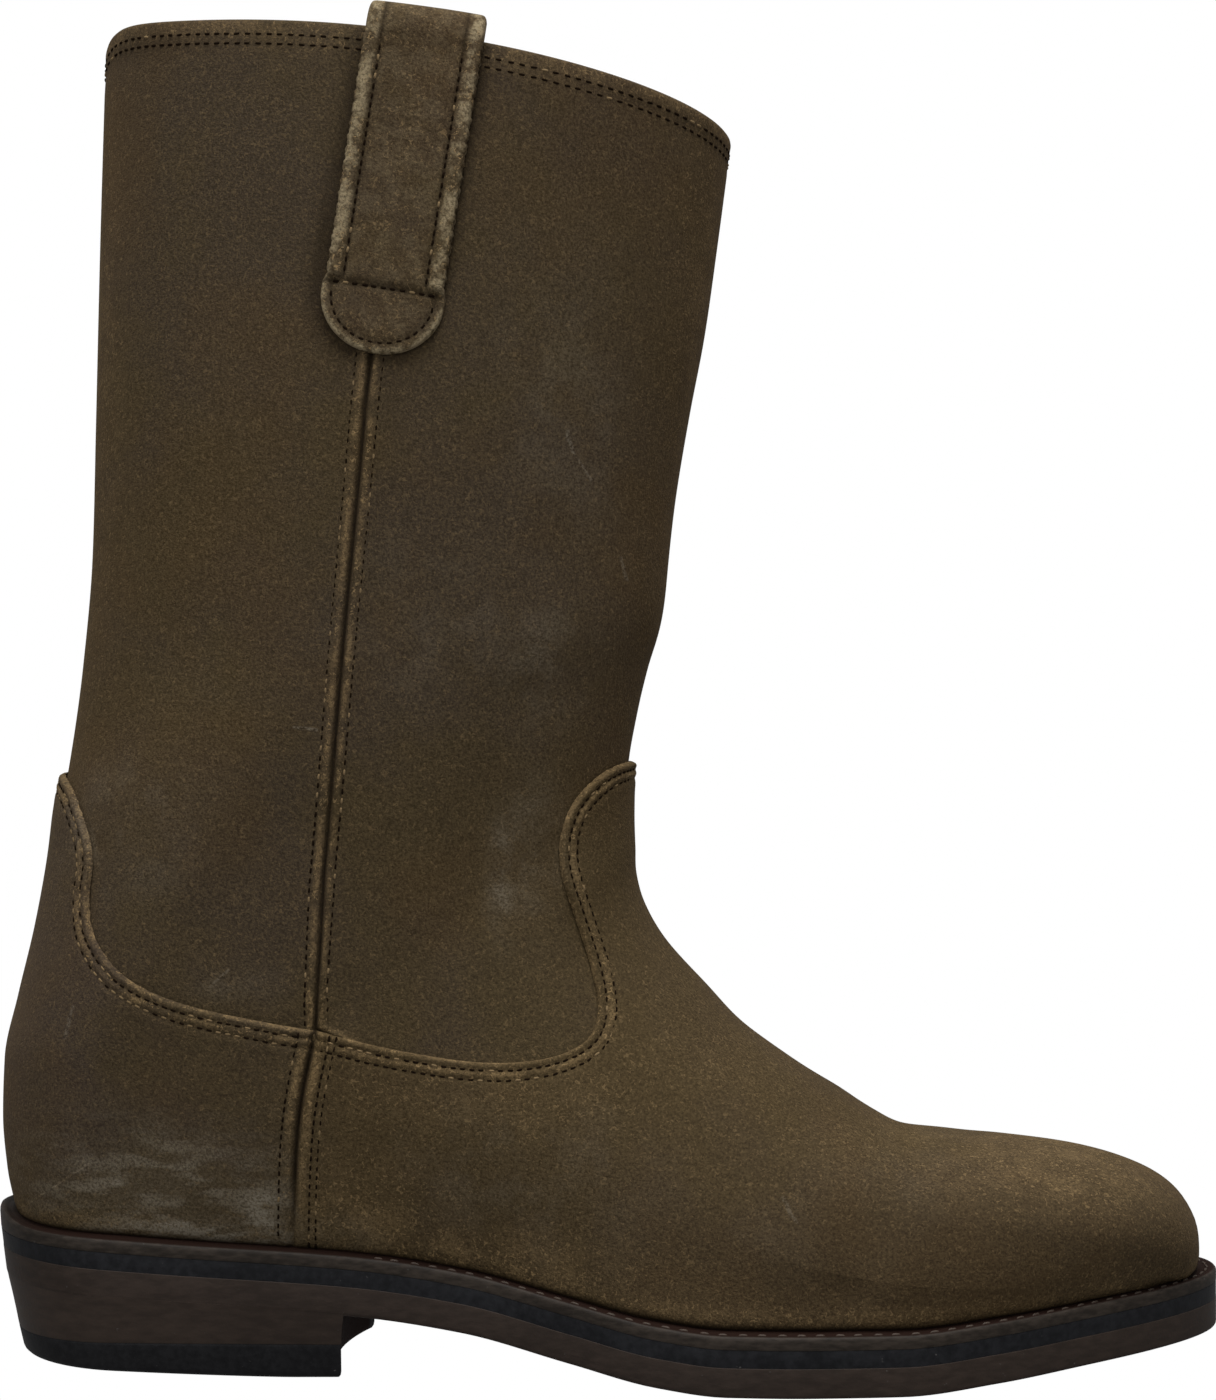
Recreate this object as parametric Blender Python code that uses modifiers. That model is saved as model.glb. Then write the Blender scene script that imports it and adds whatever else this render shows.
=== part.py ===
"""Pull-on western work boot for the right foot, standing on its sole.

The tables are in millimetres: x runs from the back of the sole to the toe, y from the outer
(lateral, negative) to the inner (medial) side, z up from the floor. MM turns them into metres.
"""

import math
from collections import namedtuple

import bmesh
import bpy
import numpy as np

# Driving sizes
MM = 0.001
LENGTH = 300.0
GAP = 0.3
TOE_SWING = 7.0
SWING_START = 165.0
HEEL_ROUND = 30.0
TOE_ROUND = 100.0
TOE_BLUNTNESS = 2.2
ROUND_END_SHARE = 0.03
OUTLINE_STATIONS = 32
WELT_STATIONS = 36

# Layers of the sole, measured up from its underside
OUTSOLE_THICKNESS = 6.7
MIDSOLE_THICKNESS = 3.7
MIDSOLE_INSET = 0.5
WELT_THICKNESS = 3.0
WELT_WIDTH = 8.4
UPPER_GAP = 0.45
INSOLE_THICKNESS = 4.5
INSOLE_INSET = 9.8
MIDSOLE_LEVEL = OUTSOLE_THICKNESS + GAP
WELT_LEVEL = MIDSOLE_LEVEL + MIDSOLE_THICKNESS + GAP
UPPER_LEVEL = WELT_LEVEL + WELT_THICKNESS + UPPER_GAP

# Heel block
HEEL_BREAST = 86.6
BREAST_HOLLOW = 5.0
HEEL_CAP_BACK = 8.8
HEEL_CAP_FRONT = 8.0
HEEL_TAPER = 5.5
HEEL_TOP_INSET = 0.8
HEEL_END_CUT = 0.4
BREAST_SHARPNESS = 5
HEEL_ROWS = 11
HEEL_COLUMNS = 5

# Upper and what is sewn to it
WALL = 2.2
FEATHER_INSET = 6.2
OVERLAY_THICKNESS = 1.7
OVERLAY_LIFT = 1.0
SEAM_RIDGE = 0.8
STRAP_THICKNESS = 2.6
STRAP_HALF_WIDTH = 13.0
STRAP_TAB_HALF_WIDTH = 14.3
STRAP_CLEARANCE = 0.45
STRAP_INSIDE_LENGTH = 50.0

SolePlace = namedtuple("SolePlace", "x underside lateral medial")
SOLE = (
    SolePlace(0.0, 21.5, 34.0, 34.0),
    SolePlace(45.0, 18.0, 34.4, 34.2),
    SolePlace(90.0, 14.8, 34.0, 31.5),
    SolePlace(115.0, 11.4, 36.0, 30.0),
    SolePlace(140.0, 5.8, 43.0, 34.0),
    SolePlace(160.0, 1.5, 49.0, 40.5),
    SolePlace(176.0, 0.0, 52.3, 45.5),
    SolePlace(195.0, 0.0, 54.0, 49.5),
    SolePlace(216.0, 0.0, 54.0, 51.5),
    SolePlace(238.0, 1.7, 52.2, 51.4),
    SolePlace(262.0, 3.7, 47.4, 48.4),
    SolePlace(300.0, 6.9, 43.0, 43.5),
)

# One row a section: a straight cut of the side view from a rear to a front point. lateral and
# medial are half-widths, belly is the place of the widest point along the cut, crown the squareness
# of its front end. Cuts through the foot stand on the welt, and cuts through the leg close behind.
# At the height rear_z the back of the boot is at rear_x, seat is the half-width behind and round
# the length over which the back is rounded.
FootSection = namedtuple("FootSection", "front_x front_z rear_x lateral medial belly crown")
FOOT = (
    FootSection(293.8, 20.9, 287.0, 16.2, 16.2, 0.08, 2.0),
    FootSection(294.0, 26.4, 282.0, 21.4, 21.4, 0.30, 2.0),
    FootSection(292.8, 33.2, 275.0, 26.6, 26.6, 0.35, 2.1),
    FootSection(288.0, 39.8, 266.0, 32.0, 32.0, 0.36, 2.2),
    FootSection(279.5, 44.3, 255.0, 37.5, 37.7, 0.36, 2.25),
    FootSection(266.2, 47.9, 244.0, 42.2, 42.5, 0.35, 2.25),
    FootSection(248.0, 50.5, 230.0, 46.6, 46.0, 0.34, 2.2),
    FootSection(229.0, 52.4, 214.0, 48.6, 47.0, 0.33, 2.1),
    FootSection(213.5, 57.9, 195.0, 48.4, 45.5, 0.32, 2.0),
    FootSection(198.9, 66.9, 175.0, 46.5, 42.5, 0.32, 1.95),
    FootSection(184.0, 77.6, 154.0, 42.8, 40.0, 0.33, 1.9),
    FootSection(171.6, 89.6, 131.0, 39.5, 38.5, 0.36, 1.9),
    FootSection(162.5, 100.2, 107.0, 37.7, 37.7, 0.40, 1.9),
    FootSection(157.0, 109.5, 83.0, 37.0, 37.3, 0.43, 1.9),
    FootSection(154.6, 117.5, 60.0, 36.8, 37.0, 0.46, 1.95),
    FootSection(153.8, 124.3, 39.0, 36.9, 37.0, 0.48, 2.0),
    FootSection(153.6, 130.0, 22.0, 37.1, 37.2, 0.495, 2.0),
    FootSection(153.6, 134.8, 11.0, 37.4, 37.5, 0.505, 2.0),
    FootSection(153.7, 139.0, 6.2, 37.7, 37.8, 0.512, 2.0),
)
LegSection = namedtuple("LegSection", "front_x front_z rear_x rear_z width belly seat round")
LEG = (
    LegSection(153.9, 143.0, 3.8, 47.0, 38.0, 0.524, 29.3, 24.8),
    LegSection(154.4, 147.5, 2.8, 59.5, 38.3, 0.531, 30.8, 26.5),
    LegSection(155.4, 153.0, 3.2, 73.0, 38.7, 0.532, 32.2, 29.0),
    LegSection(157.0, 160.0, 6.4, 88.0, 39.3, 0.522, 33.8, 33.0),
    LegSection(159.3, 168.5, 10.4, 105.0, 40.0, 0.508, 35.8, 39.0),
    LegSection(161.9, 179.5, 13.8, 124.0, 40.8, 0.496, 38.0, 47.0),
    LegSection(164.2, 194.5, 16.8, 145.0, 41.8, 0.490, 40.5, 57.0),
    LegSection(166.6, 212.0, 20.0, 168.0, 42.8, 0.485, 42.5, 66.0),
    LegSection(170.0, 231.0, 22.4, 196.0, 43.8, 0.482, 43.8, 71.0),
    LegSection(173.8, 250.5, 23.2, 228.0, 44.6, 0.486, 44.6, 73.2),
    LegSection(177.0, 273.0, 24.2, 271.0, 45.3, 0.508, 45.3, 77.6),
    LegSection(180.3, 298.7, 25.7, 322.0, 46.0, 0.532, 46.0, 82.2),
)
LEG_CROWN = 2.0
HeelPlace = namedtuple("HeelPlace", "rear_z rear_x seat round")
HEEL_FOOT = HeelPlace(20.0, 9.5, 26.0, 22.4)
CLOSED_FROM = len(FOOT) - 1
COLLAR = CLOSED_FROM + len(LEG)
BELLY_FROM = 12
SLICED_FROM = 11.0
SLICED_OVER = 3.0
SEAT_FADE = 30.0
BELLY_RISE = 42.0
COLLAR_DIP = 0.07
COLLAR_DIP_TURN = 0.05
FOOT_SHELL_END = 25
COUNTER_FIRST_SECTION = 12
HALF_STEPS_BEFORE = 3
HALF_STEPS_AT_HEEL = (16, 17, 18)
SEGMENTS_A_QUARTER = 6
SEARCH_STEPS = 40
SHARP_ANGLE = 35.0

# Raised side seam: columns beside the seam, in turns round the section
SEAM_TURN = 0.25
SEAM_FOOT_TURN = 0.0098
SEAM_TOP_TURN = 0.0083
SEAM_END_STEP = 0.06

# Side view of the seam between vamp and counter, from the welt up
SidePlace = namedtuple("SidePlace", "x z")
SEAM_FOOT = SidePlace(83.0, 93.0)
SEAM_HEAD = SidePlace(96.0, 234.0)
LOWER_SEAM = (SidePlace(74.8, 24.0), SidePlace(77.1, 59.0), SidePlace(81.3, 82.0))
VAMP_EDGE = (
    SidePlace(81.3, 82.0),
    SidePlace(98.7, 77.6),
    SidePlace(119.0, 74.4),
    SidePlace(134.0, 75.0),
    SidePlace(143.5, 78.8),
    SidePlace(146.4, 85.5),
    SidePlace(144.8, 95.5),
    SidePlace(140.9, 107.5),
    SidePlace(137.6, 118.5),
    SidePlace(137.6, 127.5),
    SidePlace(141.0, 135.8),
    SidePlace(148.0, 141.8),
    SidePlace(157.0, 145.5),
)
COUNTER_EDGE = (
    SidePlace(81.3, 82.0),
    SidePlace(70.6, 83.7),
    SidePlace(50.2, 88.2),
    SidePlace(37.0, 94.5),
    SidePlace(29.5, 103.5),
    SidePlace(27.7, 112.0),
    SidePlace(28.3, 120.5),
    SidePlace(26.8, 128.0),
    SidePlace(22.0, 136.8),
    SidePlace(14.0, 142.5),
)
EDGE_STEPS = 3
PRISM_REACH = 90.0
PRISM_MARGIN = 25.0
EDGE_RISE = 4.0
WELT_LINE_STEPS = 24

# Pull strap, side view of its middle line
STRAP_TAB_END = SidePlace(97.6, 237.0)
STRAP_TOP = SidePlace(108.8, 311.0)
STRAP_TAB_LENGTH = 15.0
STRAP_TAB_ROUND = 8.2
STRAP_TAB_ROWS = 4
STRAP_OUTSIDE_ROWS = 5
COLLAR_STEP = 0.05
STRAP_CROWN_ROWS = 7
STRAP_INSIDE_ROWS = 6
STRAP_COLUMNS = 5

LATERAL = -1.0
MEDIAL = 1.0

# Plain finishes: colour, roughness
Finish = namedtuple("Finish", "colour roughness")
FINISHES = {
    "roughout_leather": Finish((0.055, 0.038, 0.022), 0.85),
    "strap_leather": Finish((0.075, 0.055, 0.034), 0.75),
    "welt_leather": Finish((0.040, 0.031, 0.026), 0.6),
    "midsole_rubber": Finish((0.012, 0.012, 0.014), 0.55),
    "outsole_leather": Finish((0.035, 0.022, 0.015), 0.5),
    "heel_leather": Finish((0.045, 0.027, 0.018), 0.5),
    "heel_rubber": Finish((0.010, 0.010, 0.011), 0.6),
    "insole_leather": Finish((0.26, 0.16, 0.085), 0.7),
}


def monotone(places, values, x):
    """Smooth curve through the places that never overshoots a value."""
    places = np.asarray(places, float)
    values = np.asarray(values, float)
    x = np.clip(np.asarray(x, float), places[0], places[-1])
    steps = np.diff(places)
    slopes = np.diff(values) / steps
    tangents = np.zeros_like(values)
    tangents[0], tangents[-1] = slopes[0], slopes[-1]
    for k in range(1, len(places) - 1):
        if slopes[k - 1] * slopes[k] > 0:
            before, after = steps[k - 1], steps[k]
            weights = 3 * (before + after)
            tangents[k] = weights / ((2 * after + before) / slopes[k - 1] + (after + 2 * before) / slopes[k])
    row = np.clip(np.searchsorted(places, x, side="right") - 1, 0, len(steps) - 1)
    f = (x - places[row]) / steps[row]
    start = values[row] * (1 + 2 * f) * (1 - f) ** 2 + tangents[row] * steps[row] * f * (1 - f) ** 2
    end = values[row + 1] * f**2 * (3 - 2 * f) + tangents[row + 1] * steps[row] * f**2 * (f - 1)
    return start + end


def through(points, place):
    """Smooth curve through evenly numbered points, at fractional places."""
    points = np.asarray(points, float)
    points = np.vstack([2 * points[0] - points[1], points, 2 * points[-1] - points[-2]])
    place = np.asarray(place, float)
    row = np.clip(np.floor(place).astype(int), 0, len(points) - 4)
    f = (place - row)[..., None]
    before, start, end, after = (points[row + k] for k in range(4))
    return 0.5 * (
        2 * start
        + (end - before) * f
        + (2 * before - 5 * start + 4 * end - after) * f**2
        + (3 * start - before - 3 * end + after) * f**3
    )


def underside(x):
    return monotone([p.x for p in SOLE], [p.underside for p in SOLE], x)


def swing(x):
    """Sideways curve of the forefoot towards the inner side."""
    f = np.clip((np.asarray(x, float) - SWING_START) / (LENGTH - SWING_START), 0, 1)
    return TOE_SWING * f * f * (3 - 2 * f)


def outline_width(x, side, inset):
    """Half-width of the sole, drawn in by inset, before its ends are rounded."""
    places = [p.x for p in SOLE]
    lateral = monotone(places, [p.lateral for p in SOLE], x)
    medial = monotone(places, [p.medial for p in SOLE], x)
    return np.where(np.asarray(side) < 0, lateral, medial) - inset


def rounding(along, bluntness=2.0):
    """Quarter round that brings a width up from nothing over a length of one."""
    return (1 - (1 - np.clip(along, 0, 1)) ** bluntness) ** (1 / bluntness)


def half_width(x, side, inset, back=0.0):
    """Half-width of the sole's outline drawn in by inset, its back end moved on by back."""
    x = np.asarray(x, float)
    heel = rounding((x - inset - back) / (HEEL_ROUND - inset))
    toe = rounding((LENGTH - inset - x) / (TOE_ROUND - inset), TOE_BLUNTNESS)
    return outline_width(x, side, inset) * heel * toe


def feather_place():
    """The lowest place of the back of the upper."""
    seat = float(outline_width(FEATHER_INSET, LATERAL, FEATHER_INSET))
    level = float(underside(FEATHER_INSET)) + UPPER_LEVEL
    return HeelPlace(level, FEATHER_INSET, seat, HEEL_ROUND - FEATHER_INSET)


def back_profile(z):
    """Back line, half-width behind and length of the rounding at a height."""
    rows = [HEEL_FOOT, feather_place()] + [HeelPlace(g.rear_z, g.rear_x, g.seat, g.round) for g in LEG]
    heights = [row.rear_z for row in rows]
    rear_x = monotone(heights, [row.rear_x for row in rows], z)
    seat = monotone(heights, [row.seat for row in rows], z)
    return rear_x, seat, monotone(heights, [row.round for row in rows], z)


def section_table():
    """Foot and leg sections as one table of numbers."""
    level = feather_place().rear_z
    foot = [(f.front_x, f.front_z, f.rear_x, level, f.lateral, f.medial, f.belly, f.crown) for f in FOOT]
    leg = [(g.front_x, g.front_z, g.rear_x, g.rear_z, g.width, g.width, g.belly, LEG_CROWN) for g in LEG]
    return np.array(foot + leg)


Cut = namedtuple("Cut", "front_x front_z rear_x rear_z widest belly crown seat open_share")


def cut_at(s, side):
    """Sizes of the cut through fractional section s on one side of the boot."""
    values = np.moveaxis(through(section_table(), s), -1, 0)
    front_x, front_z, rear_x, rear_z, lateral, medial, belly, crown = values
    foot = s < CLOSED_FROM
    rear_x = np.where(foot, np.maximum(rear_x, FEATHER_INSET), back_profile(rear_z)[0])
    rear_z = np.where(foot, underside(rear_x) + UPPER_LEVEL, rear_z)
    toe = rounding((LENGTH - FEATHER_INSET - rear_x) / (TOE_ROUND - FEATHER_INSET), TOE_BLUNTNESS)
    seat = outline_width(rear_x, side, FEATHER_INSET) * toe
    widest = np.where(side < 0, lateral, medial)
    widest = np.where(foot, np.maximum(widest, seat), widest)
    open_share = np.where(foot, rounding((rear_x - FEATHER_INSET) / (HEEL_ROUND - FEATHER_INSET)), 0.0)
    return Cut(front_x, front_z, rear_x, rear_z, widest, belly, crown, seat, open_share)


def belly_line(z):
    """Side-view place of the widest line of ankle and leg at a height."""
    places = np.arange(BELLY_FROM, COLLAR + 1)
    cut = cut_at(places, LATERAL)
    x = cut.rear_x + cut.belly * (cut.front_x - cut.rear_x)
    height = cut.rear_z + cut.belly * (cut.front_z - cut.rear_z)
    return monotone(height, x, z)


def heel_width(x, z, side, widest):
    """Half-width behind the widest line, from the outlines of level slices."""
    back, seat, round_length = back_profile(z)
    feather = feather_place()
    fade = np.exp(-np.maximum(z - feather.rear_z, 0) / SEAT_FADE)
    seat = seat + (outline_width(x, side, FEATHER_INSET) - feather.seat) * fade
    share = np.clip((x - back) / (belly_line(z) - back), 0, 1)
    rise = np.clip((z - underside(x) - UPPER_LEVEL) / BELLY_RISE, 0, 1)
    swell = np.sin(share * math.pi / 2) * np.sin(rise * math.pi / 2)
    return (seat + (widest - seat) * swell) * rounding((x - back) / round_length)


def upper_place(s, t):
    """Outer surface of the upper: s counts sections, t goes once round from the outer bottom edge."""
    s, t = np.broadcast_arrays(np.asarray(s, float), np.asarray(t, float))
    at_back = np.exp(-((np.minimum(t, 1 - t) / COLLAR_DIP_TURN) ** 2))
    s = s - COLLAR_DIP * at_back * np.clip(s - COLLAR + 2, 0, 2) / 2
    side = np.where(t > 0.5, MEDIAL, LATERAL)
    turn = np.where(t > 0.5, 1 - t, t) / SEAM_TURN
    cut = cut_at(s, side)
    low = np.clip(turn, 0, 1) ** (2 - cut.open_share)
    high = np.clip(turn - 1, 0, 1) * math.pi / 2
    high_along = cut.belly + (1 - cut.belly) * np.sin(high) ** (2 / cut.crown)
    along = np.where(turn < 1, cut.belly * low, high_along)
    x = cut.rear_x + along * (cut.front_x - cut.rear_x)
    z = cut.rear_z + along * (cut.front_z - cut.rear_z)
    foot_out = cut.seat + (cut.widest - cut.seat) * np.sin(low * math.pi / 2)
    sliced = np.clip((s - SLICED_FROM) / SLICED_OVER, 0, 1)
    sliced = sliced * sliced * (3 - 2 * sliced)
    low_out = foot_out + (heel_width(x, z, side, cut.widest) - foot_out) * sliced
    high_out = cut.widest * np.cos(high).clip(0, 1) ** (2 / cut.crown)
    out = np.where(turn < 1, low_out, high_out)
    return np.stack([x, swing(x) + side * out, z], -1)


def upper_normal(s, t, ds=0.02, dt=0.002):
    """Outward direction of the upper's outer surface."""
    s, t = np.broadcast_arrays(np.asarray(s, float), np.asarray(t, float))
    closed = s >= CLOSED_FROM
    before = np.where(closed, (t - dt) % 1.0, np.clip(t - dt, 0, 1))
    after = np.where(closed, (t + dt) % 1.0, np.clip(t + dt, 0, 1))
    round_it = upper_place(s, after) - upper_place(s, before)
    lower = np.clip(s - ds, np.where(closed, CLOSED_FROM, 0), COLLAR)
    higher = np.clip(s + ds, 0, np.where(closed, COLLAR, CLOSED_FROM - ds / 2))
    up_it = upper_place(higher, t) - upper_place(lower, t)
    normal = np.cross(round_it, up_it)
    return normal / np.linalg.norm(normal, axis=-1, keepdims=True)


def upper_from_side(x, z):
    """Section and turn of the point of the upper's outer half that the side view shows at x, z."""
    x, z = np.broadcast_arrays(np.asarray(x, float), np.asarray(z, float))
    low, high = np.zeros(x.shape), np.full(x.shape, float(COLLAR))
    for _ in range(SEARCH_STEPS):
        middle = (low + high) / 2
        cut = cut_at(middle, LATERAL)
        run_x, run_z = cut.front_x - cut.rear_x, cut.front_z - cut.rear_z
        above = run_x * (z - cut.rear_z) - run_z * (x - cut.rear_x) > 0
        low, high = np.where(above, middle, low), np.where(above, high, middle)
    along = ((x - cut.rear_x) * run_x + (z - cut.rear_z) * run_z) / (run_x**2 + run_z**2)
    low_turn = np.clip(along / cut.belly, 0, 1) ** (1 / (2 - cut.open_share))
    high_part = np.clip((along - cut.belly) / (1 - cut.belly), 0, 1) ** (cut.crown / 2)
    high_turn = 1 + np.arcsin(high_part) / (math.pi / 2)
    return middle, SEAM_TURN * np.where(along < cut.belly, low_turn, high_turn)


def finish_material(name):
    """Principled material in the finish's colour and roughness, made once."""
    if name in bpy.data.materials:
        return bpy.data.materials[name]
    material = bpy.data.materials.new(name)
    material.use_nodes = True
    shader = material.node_tree.nodes["Principled BSDF"]
    shader.inputs["Base Color"].default_value = (*FINISHES[name].colour, 1.0)
    shader.inputs["Roughness"].default_value = FINISHES[name].roughness
    shader.inputs["Metallic"].default_value = 0.0
    return material


def add_object(name, mesh_builder, finish, boot):
    """Closes a bmesh into a named object of the boot's collection, under its empty."""
    mesh = bpy.data.meshes.new(name)
    mesh_builder.to_mesh(mesh)
    mesh_builder.free()
    mesh.shade_smooth()
    mesh.set_sharp_from_angle(angle=math.radians(SHARP_ANGLE))
    piece = bpy.data.objects.new(name, mesh)
    if finish:
        mesh.materials.append(finish_material(finish))
    boot.collection.objects.link(piece)
    piece.parent = boot.empty
    return piece


def grid_faces(builder, rows, flip=False):
    """Triangles between neighbouring rows of vertices, mirrored about the middle column."""
    for first, second in zip(rows[:-1], rows[1:]):
        cells = len(first) - 1
        for k in range(cells):
            a, b, c, d = first[k], first[k + 1], second[k + 1], second[k]
            pair = ((a, b, c), (a, c, d)) if k < cells / 2 else ((a, b, d), (b, c, d))
            for corners in pair:
                if len(set(corners)) == len(corners):
                    builder.faces.new(corners[::-1] if flip else corners)


def vertex_rows(builder, grid, closed_from):
    """Vertices of a grid of places; rows from closed_from on end at their own first vertex."""
    rows = []
    for number, row in enumerate(np.asarray(grid) * MM):
        vertices = [builder.verts.new(place) for place in row[:-1]]
        vertices.append(vertices[0] if number >= closed_from else builder.verts.new(row[-1]))
        rows.append(vertices)
    return rows


def body_between(name, lower, upper, finish, boot, closed_from=None):
    """Closed body between two grids of places of the same size."""
    builder = bmesh.new()
    closed_from = len(lower) if closed_from is None else closed_from
    below = vertex_rows(builder, lower, closed_from)
    above = vertex_rows(builder, upper, closed_from)
    grid_faces(builder, below, flip=True)
    grid_faces(builder, above)
    grid_faces(builder, [below[0], above[0]])
    grid_faces(builder, [below[-1], above[-1]])
    for end in (0, -1):
        open_rows = slice(0, closed_from + 1)
        rims = [[row[end] for row in rows[open_rows]] for rows in (below, above)]
        if closed_from > 0:
            grid_faces(builder, rims)
    bmesh.ops.recalc_face_normals(builder, faces=builder.faces)
    return add_object(name, builder, finish, boot)


def sheet(name, grid, finish, boot, thickness):
    """Open surface through a grid of places, given its thickness by Solidify."""
    builder = bmesh.new()
    grid_faces(builder, vertex_rows(builder, grid, len(grid)))
    piece = add_object(name, builder, finish, boot)
    solidify = piece.modifiers.new("thickness", "SOLIDIFY")
    solidify.thickness = thickness * MM
    solidify.offset = 1.0
    return piece


def stations(start, end, count):
    """Places along the boot, closer together at both round ends."""
    share = np.linspace(ROUND_END_SHARE, 1 - ROUND_END_SHARE / 2, count)
    return start + (end - start) * (1 - np.cos(share * math.pi)) / 2


def outline_grid(inset, level, count=OUTLINE_STATIONS):
    """Both edges of the sole's outline, drawn in by inset, at a level above its underside."""
    x = stations(inset, LENGTH - inset, count)
    z = underside(x) + level
    lateral = np.stack([x, swing(x) - half_width(x, LATERAL, inset), z], -1)
    medial = np.stack([x, swing(x) + half_width(x, MEDIAL, inset), z], -1)
    return np.stack([lateral, medial], 1)


def outline_loop(inset, level):
    """The same outline as one closed loop of places."""
    grid = outline_grid(inset, level, WELT_STATIONS)
    loop = np.vstack([grid[:, 0], grid[::-1, 1]])
    return np.vstack([loop, loop[:1]])


def make_sole(boot):
    """Outsole, midsole and insole as slabs, and the welt as a ring."""
    body_between(
        "outsole", outline_grid(0.0, 0.0), outline_grid(0.0, OUTSOLE_THICKNESS), "outsole_leather", boot
    )
    midsole_top = MIDSOLE_LEVEL + MIDSOLE_THICKNESS
    body_between(
        "midsole",
        outline_grid(MIDSOLE_INSET, MIDSOLE_LEVEL),
        outline_grid(MIDSOLE_INSET, midsole_top),
        "midsole_rubber",
        boot,
    )
    body_between(
        "insole",
        outline_grid(INSOLE_INSET, midsole_top + GAP),
        outline_grid(INSOLE_INSET, midsole_top + GAP + INSOLE_THICKNESS),
        "insole_leather",
        boot,
    )
    lower, upper = (
        [outline_loop(inset, level) for inset in (0.0, WELT_WIDTH)]
        for level in (WELT_LEVEL, WELT_LEVEL + WELT_THICKNESS)
    )
    body_between("welt", lower, upper, "welt_leather", boot, closed_from=0)


def heel_grid(share, level):
    """Heel outline at a share of the height from floor (0) to sole (1), with a hollow breast."""
    back = (1 - share) * HEEL_TAPER / 2
    inset = HEEL_TOP_INSET + back
    start = inset + back + HEEL_END_CUT
    along = 1 - np.cos(np.linspace(0, math.pi / 2, HEEL_ROWS))[:, None]
    across = np.linspace(-1, 1, HEEL_COLUMNS)[None, :]
    x = start + (HEEL_BREAST - start) * along
    lateral, medial = half_width(x, LATERAL, inset, back), half_width(x, MEDIAL, inset, back)
    y = across * np.where(across < 0, lateral, medial)
    x = x - BREAST_HOLLOW * (1 - across**2) * along**BREAST_SHARPNESS
    return np.stack([x, y, level(x)], -1)


def make_heel(boot):
    """Rubber cap on the floor and the leather stack that fills the wedge up to the sole."""

    def cap_top(x):
        return HEEL_CAP_BACK + (HEEL_CAP_FRONT - HEEL_CAP_BACK) * x / HEEL_BREAST

    cap_share = HEEL_CAP_BACK / float(underside(0.0))
    body_between(
        "heel_cap", heel_grid(0.0, lambda x: 0 * x), heel_grid(cap_share, cap_top), "heel_rubber", boot
    )
    body_between(
        "heel_stack",
        heel_grid(cap_share, lambda x: cap_top(x) + GAP),
        heel_grid(1.0, lambda x: underside(x) - GAP),
        "heel_leather",
        boot,
    )


def section_rows(end, breaks=()):
    """Fractional sections from the toe to end, with half steps where the form turns fast."""
    rows = set(np.arange(0, end + 1).tolist()) | set(breaks)
    rows |= {k + 0.5 for k in range(HALF_STEPS_BEFORE)}
    rows |= {k + 0.5 for k in HALF_STEPS_AT_HEEL}
    return np.array(sorted(rows), float)


def turn_columns():
    """Turns round a section, with the side seams' columns between even ones."""
    back = np.linspace(0, SEAM_TURN - SEAM_FOOT_TURN, SEGMENTS_A_QUARTER + 1)
    seam = np.array([SEAM_TURN - SEAM_TOP_TURN, SEAM_TURN + SEAM_TOP_TURN])
    front = np.linspace(SEAM_TURN + SEAM_FOOT_TURN, 0.5, SEGMENTS_A_QUARTER + 1)
    half = np.concatenate([back, seam, front])
    return np.concatenate([half, 1 - half[-2::-1]])


def make_upper(boot):
    """Hollow wall of shaft and foot with the side seams raised on it."""
    low, high = (float(upper_from_side(place.x, place.z)[0]) for place in (SEAM_FOOT, SEAM_HEAD))
    rows = section_rows(COLLAR, (low - SEAM_END_STEP, low, high, high + SEAM_END_STEP))
    turns = turn_columns()
    s, t = np.meshgrid(rows, turns, indexing="ij")
    on_seam = np.abs(np.where(t > 0.5, 1 - t, t) - SEAM_TURN) < (SEAM_FOOT_TURN + SEAM_TOP_TURN) / 2
    raised = on_seam & (s >= low - 1e-6) & (s <= high + 1e-6)
    place, normal = upper_place(s, t), upper_normal(s, t)
    outer = place + normal * np.where(raised, SEAM_RIDGE, 0.0)[..., None]
    inner = place - normal * WALL
    inner[..., 2] = np.maximum(inner[..., 2], underside(inner[..., 0]) + UPPER_LEVEL)
    closed_row = int(np.searchsorted(rows, CLOSED_FROM))
    body_between("upper", inner, outer, "roughout_leather", boot, closed_from=closed_row)


def side_prism(name, outline, boot):
    """Side-view outline carried across the whole boot, as a cutter."""
    builder = bmesh.new()
    corners = [builder.verts.new((x * MM, -PRISM_REACH * MM, z * MM)) for x, z in outline]
    face = builder.faces.new(corners)
    swept = bmesh.ops.extrude_face_region(builder, geom=[face])["geom"]
    moved = [v for v in swept if isinstance(v, bmesh.types.BMVert)]
    bmesh.ops.translate(builder, verts=moved, vec=(0, 2 * PRISM_REACH * MM, 0))
    bmesh.ops.recalc_face_normals(builder, faces=builder.faces)
    cutter = add_object(name, builder, None, boot)
    boot.collection.objects.unlink(cutter)
    boot.cutters.objects.link(cutter)
    cutter.hide_render = True
    cutter.display_type = "WIRE"
    return cutter


def drawn(places, steps=EDGE_STEPS):
    """Smooth side-view line through places."""
    count = (len(places) - 1) * steps + 1
    return through(places, np.linspace(0, len(places) - 1, count))


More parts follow.
